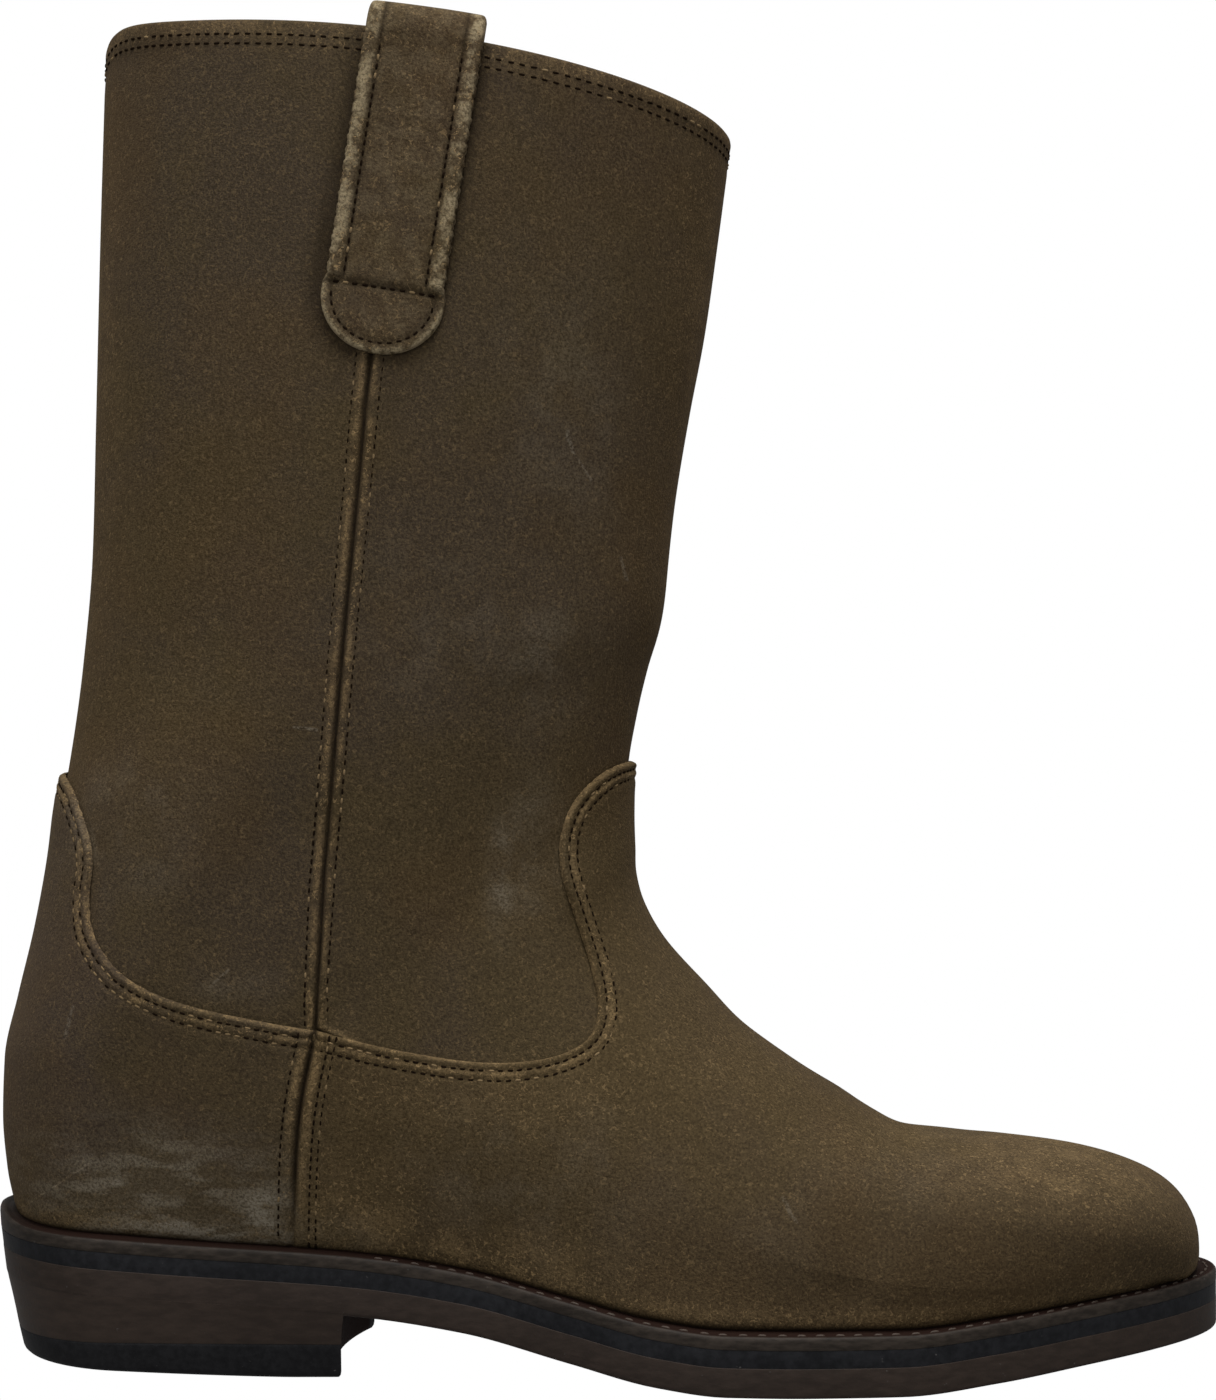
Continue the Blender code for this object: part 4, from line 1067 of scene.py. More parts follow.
def strap_stitch_rows():
    """Rows along both folded edges, across the fold's end and round the tab."""
    rows = []
    run = np.linspace(STRAP_TAB_LENGTH + STRAP_STITCH_START, STRAP_LENGTH, 120)
    for sign in (-1, 1):
        across = np.full((1, 1), sign * (1 - STRAP_STITCH / STRAP_HALF_WIDTH))
        s, t, _ = strap_base(across, run)
        rows += both_sides(s[:, 0], t[:, 0], STRAP_THREAD_LIFT)
    s, t, _ = strap_base(np.linspace(-CROSS_REACH, CROSS_REACH, 60), np.array([STRAP_TAB_LENGTH]))
    rows += both_sides(s[0], t[0], CROSS_THREAD_LIFT)
    angle = np.linspace(0, math.pi, 90)
    inner = 1 - TAB_STITCH / STRAP_TAB_HALF_WIDTH
    x = inner * STRAP_TAB_HALF_WIDTH * np.cos(angle)
    up = STRAP_TAB_ROUND * (1 - inner * np.sin(angle))
    _, _, wide = strap_base(np.zeros((1, 1)), up)
    s, t, _ = strap_base((x / wide)[:, None], up)
    return rows + both_sides(s[:, 0], t[:, 0], TAB_THREAD_LIFT)


# Sole and heel


def outline(inset, level, count):
    """Closed loop of the sole's outline, from the back along the outer side and back along the inner."""
    share = (1 - np.cos(np.linspace(0, math.pi, count))) / 2
    back = BACK_LEAN * (1 - level / WELT_TOP)
    x = inset + back + (LENGTH - 2 * inset - back) * share
    z = underside(x) + level
    lateral, medial = (
        np.stack([x, swing(x) + side * half_width(x, side, inset, back), z], -1) for side in (LATERAL, MEDIAL)
    )
    return np.concatenate([lateral, medial[-2:0:-1]])


def strip_faces(count, start, flip):
    """Faces that fill a closed loop made by outline, from side to side."""
    total = 2 * count - 2
    lateral = np.arange(count)
    medial = np.concatenate([[0], np.arange(total - 1, count - 1, -1), [count - 1]])
    faces = []
    for k in range(count - 1):
        corners = [lateral[k], lateral[k + 1], medial[k + 1], medial[k]]
        unique = [c for n, c in enumerate(corners) if c not in corners[:n]]
        faces.append([start + c for c in (unique[::-1] if flip else unique)])
    return faces


def heel_loop(share, grow, level, count=48):
    """Heel outline at a share of the height from floor (0) to sole (1), with a hollow breast."""
    taper = (1 - share) * HEEL_TAPER / 2
    back = BACK_LEAN + taper * 0.5
    inset = HEEL_TOP_INSET + taper - grow
    start = inset + back
    along = 1 - np.cos(np.linspace(0, math.pi / 2, count))
    sides = []
    for side, breast in ((LATERAL, HEEL_BREAST), (MEDIAL, HEEL_BREAST + INNER_BREAST)):
        x = start + (breast + grow - start) * along
        sides.append(np.stack([x, side * half_width(x, side, inset, back)], -1))
    lateral, medial = sides
    across = np.linspace(1, -1, BREAST_COUNT + 2)[1:-1]
    wide = np.where(across > 0, medial[-1, 1], -lateral[-1, 1])
    straight = HEEL_BREAST + grow + INNER_BREAST * (1 + across) / 2
    breast = np.stack([straight - BREAST_HOLLOW * (1 - across**2), across * wide], -1)
    loop = np.concatenate([lateral[::-1], medial[1:], breast])
    return np.concatenate([loop, level(loop[:, :1])], 1)


def heel_wear(x):
    """Height to which walking has worn the cap away at its back."""
    return HEEL_WEAR * np.clip(1 - x / HEEL_WEAR_LENGTH, 0, 1) ** HEEL_WEAR_CURVE


def heel_cap_top(x):
    return HEEL_CAP_BACK + (HEEL_CAP_FRONT - HEEL_CAP_BACK) * x / HEEL_BREAST


def heel_stack_bottom(x):
    return heel_cap_top(x) - HEEL_OVERLAP


def heel_stack_top(x):
    return underside(x) + SOLE_OVERLAP


# Meshes


def grid_faces(rows, columns, closed=False, start=0, flip=False):
    """Four-cornered faces of a grid of vertices."""
    row = np.arange(rows - 1)[:, None] * columns
    column = np.arange(columns if closed else columns - 1)[None, :]
    after = (column + 1) % columns
    faces = np.stack([row + column, row + after, row + columns + after, row + columns + column], -1)
    faces = faces.reshape(-1, 4) + start
    return faces[:, ::-1] if flip else faces


def make_piece(name, places, faces, material, node=None, values=None, weld=False, sharp=False):
    """Smooth mesh of the boot, riding on its body, with float values on its points."""
    mesh = bpy.data.meshes.new(name)
    mesh.from_pydata(to_world(places).reshape(-1, 3).tolist(), [], [list(face) for face in faces])
    for value_name, numbers in (values or {}).items():
        layer = mesh.attributes.new(value_name, "FLOAT", "POINT")
        layer.data.foreach_set("value", np.asarray(numbers, np.float32).ravel())
    mesh.materials.append(material)
    if weld:
        builder = bmesh.new()
        builder.from_mesh(mesh)
        bmesh.ops.remove_doubles(builder, verts=builder.verts, dist=WELD_DISTANCE)
        builder.to_mesh(mesh)
        builder.free()
    mesh.shade_smooth()
    if sharp:
        mesh.set_sharp_from_angle(angle=SHARP_ANGLE)
    mesh.update()
    piece = bpy.data.objects.new(name, mesh)
    bpy.context.scene.collection.objects.link(piece)
    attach(piece, "root")
    if node:
        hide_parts(node)


def stitch_shape(length, radius, sink):
    """Points of one stitch, ring by ring: along its row, beside it and up."""
    along = np.linspace(-1, 1, STITCH_RINGS)
    thick = radius * np.sqrt(np.clip(1 - np.abs(along) ** STITCH_BLUNTNESS, STITCH_TIP, 1))
    angle = np.linspace(0, 2 * math.pi, STITCH_SIDES, endpoint=False)
    ahead = np.repeat(along * length / 2, STITCH_SIDES)
    beside, up = np.outer(thick, np.cos(angle)).ravel(), np.outer(thick, np.sin(angle)).ravel()
    sagging = np.repeat(along**STITCH_DIVE * radius * STITCH_SAG, STITCH_SIDES)
    return np.stack([ahead, beside, up - sagging - sink], -1)


def read_along(values, run, at):
    """Places or directions of a line at runs from its start."""
    return np.stack([np.interp(at, run, column) for column in values.T], -1)


def stitch_rows(name, rows, thread, material, sink=STITCH_SINK):
    """Joined thread stitches along rows of places, outward directions and shares of pale stitches."""
    rng = np.random.default_rng(len(name))
    shape = stitch_shape(thread.length, thread.radius, sink)
    places, worn = [], []
    for line, normals, pale_share in rows:
        steps = np.linalg.norm(np.diff(line, axis=0), axis=1)
        run = np.concatenate([[0.0], np.cumsum(steps)])
        spots = np.arange(thread.pitch / 2, run[-1], thread.pitch)
        spots = spots + rng.normal(0, STITCH_JITTER * thread.pitch, len(spots))
        before, middle, after = (read_along(line, run, spots + k * STITCH_REACH) for k in (-1, 0, 1))
        ahead = unit(after - before)
        beside = unit(np.cross(read_along(normals, run, spots), ahead))
        up = np.cross(ahead, beside)
        turn = rng.normal(0, STITCH_TURN, (len(spots), 1))
        turned = ahead * np.cos(turn) + beside * np.sin(turn)
        beside = beside * np.cos(turn) - ahead * np.sin(turn)
        places.append(middle[:, None] + shape @ np.stack([turned, beside, up], 1))
        # Pale stitches: worn thread and painted glints
        worn.append(np.repeat(rng.random(len(spots)) < pale_share, len(shape)))
    places = np.concatenate(places)
    starts = np.arange(len(places))[:, None, None] * len(shape)
    faces = (grid_faces(STITCH_RINGS, STITCH_SIDES, closed=True) + starts).reshape(-1, 4)
    make_piece(name, places, faces, material, values={"rub": np.concatenate(worn)})


# Shaders


class Shade:
    """A shader socket that takes part in Python sums; other nodes come from node()."""

    def __init__(self, tree, socket):
        self.tree, self.socket = tree, socket

    def node(self, kind, settings=None, inputs=None, output=0):
        made = self.tree.nodes.new(kind)
        for name, value in (settings or {}).items():
            setattr(made, name, value)
        for name, value in (inputs or {}).items():
            target = made.inputs[name]
            if isinstance(value, Shade):
                self.tree.links.new(value.socket, target)
            elif target.type == "RGBA" and len(value) == 3:
                target.default_value = (*value, 1.0)
            else:
                target.default_value = value
        return Shade(self.tree, made.outputs[output])

    def sum(self, operation, first, second):
        return self.node("ShaderNodeMath", {"operation": operation}, {0: first, 1: second})

    def __add__(self, other):
        return self.sum("ADD", self, other)

    __radd__ = __add__

    def __sub__(self, other):
        return self.sum("SUBTRACT", self, other)

    def __rsub__(self, other):
        return self.sum("SUBTRACT", other, self)

    def __mul__(self, other):
        return self.sum("MULTIPLY", self, other)

    __rmul__ = __mul__

    def __pow__(self, other):
        return self.sum("POWER", self, other)

    def between(self, low, high):
        """Smooth step from 0 at low to 1 at high."""
        inputs = {"Value": self, "From Min": low, "From Max": high}
        return self.node("ShaderNodeMapRange", {"interpolation_type": "SMOOTHSTEP"}, inputs)

    def mix(self, first, second):
        """Colour between two colours, by this value."""
        return self.node("ShaderNodeMix", {"data_type": "RGBA"}, {0: self, 6: first, 7: second}, 2)

    def noise(self, scale, detail=3.0, rough=0.55, distortion=0.0):
        """Noise at this vector, scale in features a metre."""
        inputs = {"Vector": self, "Scale": scale, "Detail": detail}
        inputs |= {"Roughness": rough, "Distortion": distortion}
        return self.node("ShaderNodeTexNoise", None, inputs)

    def clamped(self):
        """This value held between 0 and 1."""
        return self.node("ShaderNodeClamp", None, {"Value": self})

    def stretched(self, factors):
        """This vector with each axis scaled."""
        return self.node("ShaderNodeVectorMath", {"operation": "MULTIPLY"}, {0: self, 1: factors})


class Finish:
    """A material with its shader, its object coordinates and a way to feed it."""

    def __init__(self, name, **constants):
        self.material = bpy.data.materials.new(name)
        self.material.use_nodes = True
        self.tree = self.material.node_tree
        self.shader = self.tree.nodes["Principled BSDF"]
        for socket, value in constants.items():
            self.shader.inputs[socket.replace("_", " ")].default_value = value
        self.maker = Shade(self.tree, None)
        self.places = self.maker.node("ShaderNodeTexCoord", output=3)
        self.axes = None

    def value(self, name):
        return self.maker.node("ShaderNodeAttribute", {"attribute_name": name}, output=2)

    def axis(self, number):
        """One axis of the object coordinates."""
        if self.axes is None:
            self.axes = self.tree.nodes.new("ShaderNodeSeparateXYZ")
            self.tree.links.new(self.places.socket, self.axes.inputs[0])
        return Shade(self.tree, self.axes.outputs[number])

    def feed(self, colour, roughness=None, height=None, distance=FINE_BUMP, strength=0.5):
        feeds = {"Base Color": colour}
        if roughness is not None:
            feeds["Roughness"] = roughness
        if height is not None:
            bump = {"Strength": strength, "Distance": distance, "Height": height}
            feeds["Normal"] = self.maker.node("ShaderNodeBump", None, bump)
        for socket, shade in feeds.items():
            self.tree.links.new(shade.socket, self.shader.inputs[socket])
        return self.material


def scratch_mask(finish, wobble, scratch):
    """1 on a thin scratch that is drawn in the side view, 0 beside it."""
    (x1, _, z1), (x2, _, z2) = (to_world((x, 0.0, z)).tolist() for x, z in (scratch[:2], scratch[2:4]))
    run_x, run_z = x2 - x1, z2 - z1
    square = run_x**2 + run_z**2
    off_x, off_z = finish.axis(0) + wobble - x1, finish.axis(2) - z1
    along = (off_x * (run_x / square) + off_z * (run_z / square)).clamped()
    far = (off_x - along * run_x) ** 2 + (off_z - along * run_z) ** 2
    return (1 - far.between(0.0, (scratch.width * MM) ** 2)) * scratch.strength


def roughout_finish(name, looks, hide, worn_colour=None):
    """Oiled roughout: napped, faintly clouded, rubbed lighter on edges and scuffed in places, with painted
    shade, painted highlight and painted sheen from its values.
    """
    finish = Finish(name, Sheen_Weight=0.06, Sheen_Roughness=0.4, Specular_IOR_Level=0.05)
    finish.shader.inputs["Sheen Tint"].default_value = (*looks.nap_sheen, 1.0)
    at = finish.places
    cloud, stain = at.noise(CLOUD_SCALE, 2.0), at.noise(STAIN_SCALE, 3.0)
    patch, speck = at.noise(hide.patch_scale, 3.0, 0.6), at.noise(SPECK_SCALE, 2.0, 0.5, 1.2)
    grain, nap = at.noise(GRAIN_SCALE, 3.0, 0.65), at.noise(NAP_SCALE, 2.0, 0.6)
    rub, shade, scuff = finish.value("rub"), finish.value("shade"), finish.value("scuff")
    tones = (looks.roughout_olive, looks.roughout_umber, looks.roughout_warm)
    olive, umber, warm = (tuple(a * b for a, b in zip(hide.tint, tone)) for tone in tones)
    colour = ((cloud * 0.6 + stain * 0.4).between(0.42, 0.58) * hide.clouding).mix(olive, umber)
    # Browner places of the hide, and the painted sheen along the shaft's back and front edges
    browner_and_sheen = finish.value("warm") + at.noise(WARM_SCALE, 3.0, 0.6).between(0.50, 0.68) * 0.4
    colour = browner_and_sheen.mix(colour, warm)
    colour = (grain.between(0.46, 0.70) * 0.42).mix(colour, looks.roughout_fleck)
    colour = ((0.52 - grain).between(0.0, 0.22) * 0.45).mix(colour, looks.roughout_pit_and_shade)
    colour = (speck.between(0.58, 0.67) * (0.24 + 1.7 * rub).clamped()).mix(colour, looks.roughout_tan)
    # Rub also carries the painted highlight on the toe's top, along the shaft's front and back edges and on
    # the straps' folds
    worn = rub * (0.69 - hide.patchy / 2 + hide.patchy * patch.between(0.40, 0.60))
    worn = worn * (0.3 + 0.7 * grain.between(0.34, 0.60))
    colour = worn.mix(colour, worn_colour or looks.roughout_tan)
    if hide.smeared:
        smear = at.stretched(SMEAR_STRETCH).noise(SMEAR_SCALE, 3.0, 0.6)
    else:
        smear = at.noise(HAZE_SCALE, 4.0, 0.6)
    hazy = scuff * (0.3 + 1.2 * smear.between(0.42, 0.64)) * (0.3 + 0.7 * grain.between(0.36, 0.62))
    colour = hazy.mix(colour, looks.roughout_dust)
    for scratch in hide.scratches:
        mask = scratch_mask(finish, (patch - 0.5) * SCRATCH_WOBBLE, scratch)
        colour = (mask * grain.between(0.36, 0.60)).mix(colour, looks.roughout_dust)
    # Painted shade from the shade values: grooves, stitch dips, the welt's foot, beside the straps and low on
    # the toe box
    colour = (shade * (0.6 + 0.8 * patch)).mix(colour, looks.roughout_pit_and_shade)
    height = grain * 0.7 + nap * 0.4 + patch * 0.25
    return finish.feed(colour, 0.72 + 0.25 * grain, height, NAP_BUMP, 0.7)


def thread_finish(name, looks):
    """Dark waxed thread, some stitches of it painted tan as worn thread and painted glints."""
    finish = Finish(name, Specular_IOR_Level=0.0, Roughness=0.8)
    return finish.feed(finish.value("rub").mix(looks.thread, looks.thread_worn_and_glint))


def two_tones(looks, surface):
    return getattr(looks, surface + "_dark"), getattr(looks, surface + "_light")


def edge_finish(name, looks, surface, streak_scale, rough=0.5, stretch=EVEN):
    """Edge of a sole layer: fine streaks, dull places, pale dust specks and painted shade from its shade
    values.
    """
    finish = Finish(name, Specular_IOR_Level=0.08)
    at = finish.places.stretched(stretch)
    streak, speck = at.noise(streak_scale, 4.0, 0.6), finish.places.noise(DUST_SCALE, 2.0, 0.5)
    cloud = finish.places.noise(DULL_SCALE, 3.0)
    colour = (streak * 0.7 + cloud * 0.3).between(0.35, 0.68).mix(*two_tones(looks, surface))
    colour = (speck.between(0.73, 0.79) * 0.5).mix(colour, looks.dust_speck)
    # Painted shade on the welt's top ledge and on the heel's breast
    shade = finish.value("shade")
    colour = shade.mix(colour, looks.welt_ledge_shade)
    roughness = rough + 0.25 * streak - 0.1 * cloud + 0.35 * shade
    return finish.feed(colour, roughness, streak * 0.7 + speck * 0.5)


def plain_finish(name, looks, surface, scale, rough):
    """Two near colours in fine noise, for thread, lining and insole."""
    finish = Finish(name, Specular_IOR_Level=0.3)
    grain = finish.places.noise(scale, 3.0, 0.6)
    colour = grain.between(0.35, 0.68).mix(*two_tones(looks, surface))
    return finish.feed(colour, rough + 0.15 * grain, grain)


# Settings


def colour_property(name, description, default):
    return FloatVectorProperty(
        name=name, description=description, default=default, subtype="COLOR", size=3, min=0.0, max=1.0
    )


class BootLooks(bpy.types.PropertyGroup):
    """Colours of the boot."""

    roughout_olive: colour_property("Roughout olive", "Plain leather", (0.0408, 0.0290, 0.0138))
    roughout_umber: colour_property("Roughout umber", "Oiled places of the leather", (0.0365, 0.0265, 0.0175))
    # Roughout warm is also the painted sheen along the shaft's back and front edges
    roughout_warm: colour_property("Roughout warm", "Browner places of the leather", (0.0470, 0.0290, 0.0122))
    roughout_fleck: colour_property("Roughout fleck", "Tips of the nap", (0.090, 0.064, 0.031))
    # Roughout pit is also the colour of the painted shade
    roughout_pit_and_shade: colour_property("Roughout pit", "Deep places of the nap", (0.0082, 0.0052, 0.0027))
    # Roughout tan is also the painted highlight on the toe's top and the painted sheen along the shaft's
    # front and back edges
    roughout_tan: colour_property("Roughout tan", "Rubbed edges and ridges", (0.178, 0.120, 0.057))
    roughout_dust: colour_property("Roughout dust", "Scuffs and scratches", (0.145, 0.124, 0.092))
    nap_sheen: colour_property("Nap sheen", "Light that grazes the nap", (0.60, 0.40, 0.22))
    # Strap worn is also the painted highlight on the straps' raised folds
    strap_worn_and_lit: colour_property("Strap worn", "Rubbed folds of the straps", (0.215, 0.172, 0.104))
    thread: colour_property("Thread", "Seam thread", (0.0085, 0.0054, 0.0032))
    # Worn thread is also the painted glint on some stitches
    thread_worn_and_glint: colour_property("Worn thread", "Stitches rubbed pale", (0.150, 0.105, 0.055))
    welt_thread_dark: colour_property("Welt thread dark", "Stitches of the welt", (0.0276, 0.0186, 0.0126))
    welt_thread_light: colour_property("Welt thread light", "Stitches of the welt", (0.046, 0.031, 0.021))
    lining_dark: colour_property("Lining dark", "Leather inside the shaft", (0.16, 0.105, 0.058))
    lining_light: colour_property("Lining light", "Leather inside the shaft", (0.24, 0.165, 0.095))
    insole_dark: colour_property("Insole dark", "Leather under the foot", (0.20, 0.125, 0.066))
    insole_light: colour_property("Insole light", "Leather under the foot", (0.30, 0.19, 0.105))
    welt_dark: colour_property("Welt dark", "Edge of the welt", (0.0125, 0.0098, 0.0077))
    welt_light: colour_property("Welt light", "Edge of the welt", (0.0300, 0.0235, 0.0185))
    # Welt crease is the painted shade on the welt's ledge and on the heel's breast
    welt_ledge_shade: colour_property("Welt crease", "Ledge between welt and upper", (0.0105, 0.0044, 0.0027))
    midsole_dark: colour_property("Midsole dark", "Rubber of the midsole", (0.0055, 0.0057, 0.0066))
    midsole_light: colour_property("Midsole light", "Rubber of the midsole", (0.0120, 0.0123, 0.0140))
    outsole_dark: colour_property("Outsole dark", "Edge of the outsole", (0.0185, 0.0134, 0.0106))
    outsole_light: colour_property("Outsole light", "Edge of the outsole", (0.0285, 0.0204, 0.0161))
    heel_dark: colour_property("Heel dark", "Stacked lifts of the heel", (0.0235, 0.0170, 0.0135))
    heel_light: colour_property("Heel light", "Stacked lifts of the heel", (0.0350, 0.0250, 0.0196))
    cap_dark: colour_property("Heel cap dark", "Rubber of the heel cap", (0.0050, 0.0050, 0.0056))
    cap_light: colour_property("Heel cap light", "Rubber of the heel cap", (0.0105, 0.0105, 0.0114))
    dust_speck: colour_property("Dust speck", "Pale specks on the sole", (0.09, 0.085, 0.08))


class StageLooks(bpy.types.PropertyGroup):
    """Light and floor of the studio."""

    floor_colour: colour_property("Floor", "Floor and backdrop", (1.0, 1.0, 1.0))
    floor_glow: FloatProperty(name="Floor glow", description="Own light of the floor", default=1.0, min=0.0)
    key_power: FloatProperty(name="Key light", description="Large light above", default=34.0, unit="POWER")
    fill_power: FloatProperty(name="Fill light", description="Light by the camera", default=8.0, unit="POWER")
    world_strength: FloatProperty(name="World", description="Light from all round", default=0.42, min=0.0)
    lens: FloatProperty(name="Lens", description="Focal length of the camera in mm", default=62.5)


# Operators


class BootOperator(bpy.types.Operator):
    """Base of the boot's operators."""

    bl_options = {"REGISTER", "UNDO"}

    @property
    def looks(self):
        return bpy.context.scene.boot_looks


class BOOT_OT_upper(BootOperator):
    """Shaft and foot of the upper with raised side seams, a rolled collar and a lining"""

    bl_idname = "boot.upper"
    bl_label = "Upper"

    def execute(self, context):
        near, count = np.array(SEAM_TURNS), int(SEAM_TURN / TURN_SPACING)
        back = np.linspace(0, SEAM_TURN - near[-1], count)[:-1]
        half = np.concatenate([back, SEAM_TURN - near[::-1], SEAM_TURN + near[1:]])
        half = np.concatenate([half, np.linspace(half[-1], FRONT_TURN, count)[1:]])
        turns = np.concatenate([half, 1 - half[-2::-1]])
        fine = np.linspace(COARSE_SECTIONS, COLLAR, SHAFT_ROWS)[1:]
        rows = np.concatenate([np.linspace(0, COARSE_SECTIONS, COARSE_ROWS), fine])
        outer, values = self.outside(*np.meshgrid(rows, turns, indexing="ij"))
        angle = np.linspace(0, math.pi, RIM_ROWS + 1)[1:, None, None]
        normal = upper_normal(COLLAR, turns)
        rolled = np.cos(angle) * normal + np.sin(angle) * unit(collar_rise(turns)) - normal
        places = np.concatenate([outer, outer[-1] + rolled * WALL / 2])
        material = roughout_finish("shaft_roughout", self.looks, SHAFT_HIDE)
        faces = grid_faces(len(places), len(turns))
        make_piece("upper_leather", places, faces, material, "upper", values)
        rows, turns = np.linspace(0, COLLAR, LINING_ROWS), np.linspace(0, 1, LINING_TURNS)
        s, t = np.meshgrid(rows, turns, indexing="ij")
        inner = upper_place(s, t) - upper_normal(s, t) * WALL
        inner[..., 2] = np.maximum(inner[..., 2], underside(inner[..., 0]) + UPPER_LEVEL)
        lining = plain_finish("lining_leather", self.looks, "lining", 500.0, 0.7)
        faces = grid_faces(len(rows), len(turns), flip=True)
        make_piece("upper_lining", inner, faces, lining)
        return {"FINISHED"}

    def outside(self, s, t):
        """Places of the outside, with columns drawn to the seam, and values of wear, painted shade and
        painted sheen, also for the rim.
        """
        side_t = np.minimum(t, 1 - t)
        seam, middle = seam_turn(s), int(np.argmin(np.abs(t[0] - SEAM_TURN)))
        side_t = side_t + (seam - SEAM_TURN) * bell(side_t, SEAM_TURN, SEAM_BEND)
        t = np.where(t > FRONT_TURN, 1 - side_t, side_t)
        place = upper_place(s, t)
        seam_far = np.abs(side_t - seam) * turn_length(s[:, middle], t[:, middle])[:, None]
        on_seam = ramp(s, corner_section() - SHAFT_SEAM_BELOW, SHAFT_SEAM_EASE)
        dips = stitch_dips(seam_far, (SEAM_STITCH,)) * on_seam
        rough = np.random.default_rng(5).normal(0, SHAFT_SEAM_ROUGHNESS, s.shape)
        rough = rough * bell(seam_far, SHAFT_RIDGE.at, SHAFT_ROUGH_WIDTH)
        lift = (table_curve(SHAFT_SEAM_HEIGHT, seam_far) - STITCH_DEPTH * dips + rough) * on_seam
        drop = (COLLAR - s) * hem_length(t)
        hem = stitch_dips(drop, HEM_STITCHES)
        lift = lift - HEM_DEPTH * hem + banded(drop, COLLAR_SWELL)
        rubs = [banded(drop, COLLAR_EDGE), banded(drop, COLLAR_MIDDLE)]
        rubs += [banded(seam_far, SHAFT_RIDGE) * on_seam, blot_amount(place, RUBBED_AND_LIT)]
        # Painted shade in the shaft seam's groove and in the stitch dips of seam and hem, and the painted
        # shadow beside the straps
        groove = banded(seam_far, SHAFT_GROOVE) * on_seam
        stitch_shade = np.maximum(SHAFT_STITCH_DARK * dips, HEM_STITCH_DARK * hem)
        shade = np.maximum.reduce([groove, stitch_shade, strap_shadow(place)])
        more = np.ones((RIM_ROWS, s.shape[1]))
        values = {
            "rub": np.concatenate([np.maximum.reduce(rubs), RIM_TONE * more]),
            "shade": np.concatenate([np.clip(shade, 0, 1), RIM_TONE * more]),
            "scuff": np.concatenate([blot_amount(place, SCUFFED), 0 * more]),
            # Painted sheen along the back and the front of the shaft
            "warm": np.concatenate([banded(side_t, BACK_EDGE_SHEEN) + banded(side_t, FRONT_EDGE_SHEEN), 0 * more]),
        }
        return leather(s, t, lift), values


class BOOT_OT_overlays(BootOperator):
    """Vamp and counter with raw edges, raised seams and stitch rows"""

    bl_idname = "boot.overlays"
    bl_label = "Vamp and counter"

    def execute(self, context):
        for name, patch, hide, ridge, outward in (
            ("vamp", vamp_patch(), VAMP_HIDE, VAMP_RIDGE, False),
            ("counter", counter_patch(), COUNTER_HIDE, COUNTER_RIDGE, True),
        ):
            material = roughout_finish(name + "_roughout", self.looks, hide)
            half = OverlayMesh(patch, ridge)
            places = np.concatenate([leather(half.s, turn, half.lift) for turn in (half.t, 1 - half.t)])
            shape = half.s.shape
            lateral = grid_faces(*shape, flip=not outward)
            medial = grid_faces(*shape, start=half.s.size, flip=outward)
            faces = np.concatenate([lateral, medial])
            values = {key: np.concatenate([numbers, numbers]) for key, numbers in half.values.items()}
            make_piece(name + "_leather", places, faces, material, name, values, weld=True)
        return {"FINISHED"}


class BOOT_OT_stitches(BootOperator):
    """Thread of the seams, the overlays' edges, the collar and the welt"""

    bl_idname = "boot.stitches"
    bl_label = "Stitches"

    def execute(self, context):
        thread = thread_finish("seam_thread", self.looks)
        rows = []
        for patch, pale_share in ((vamp_patch(), VAMP_PALE), (counter_patch(), COUNTER_PALE)):
            for distance in EDGE_STITCHES:
                rows += both_sides(*patch_rows(patch, distance, False), EDGE_THREAD_LIFT, pale_share)
            rows += both_sides(*patch_rows(patch, LOWER_STITCH, True), LOWER_THREAD_LIFT)
        rows += both_sides(*patch_rows(vamp_patch(), VAMP_STITCH, True), VAMP_THREAD_LIFT)
        s = np.linspace(corner_section(), COLLAR - SEAM_STITCH_END, 300)
        for side in (-1, 1):
            t = seam_turn(s) + side * SEAM_STITCH / turn_length(s, SEAM_TURN)
            rows += both_sides(s, t, SHAFT_THREAD_LIFT, SHAFT_PALE)
        stitch_rows("seam_stitches", rows, SEAM_THREAD, thread)
        rows = []
        t = np.linspace(0, 1, 600)
        for drop in HEM_STITCHES:
            s = COLLAR - drop / hem_length(t)
            rows.append((leather(s, t, HEM_THREAD_LIFT), upper_normal(s, t), HEM_PALE))
        stitch_rows("collar_stitches", rows, COLLAR_THREAD, thread)
        pale = plain_finish("welt_thread", self.looks, "welt_thread", 2500.0, 0.6)
        line = outline(WELT_STITCH, WELT_TOP + WELT_THREAD_LIFT, 400)
        line = line[line[:, 0] > WELT_STITCH_FROM]
        up = np.broadcast_to(np.array([0.0, 0.0, 1.0]), line.shape)
        stitch_rows("welt_stitches", [(line, up, 0.0)], WELT_THREAD, pale, WELT_STITCH_SINK)
        return {"FINISHED"}


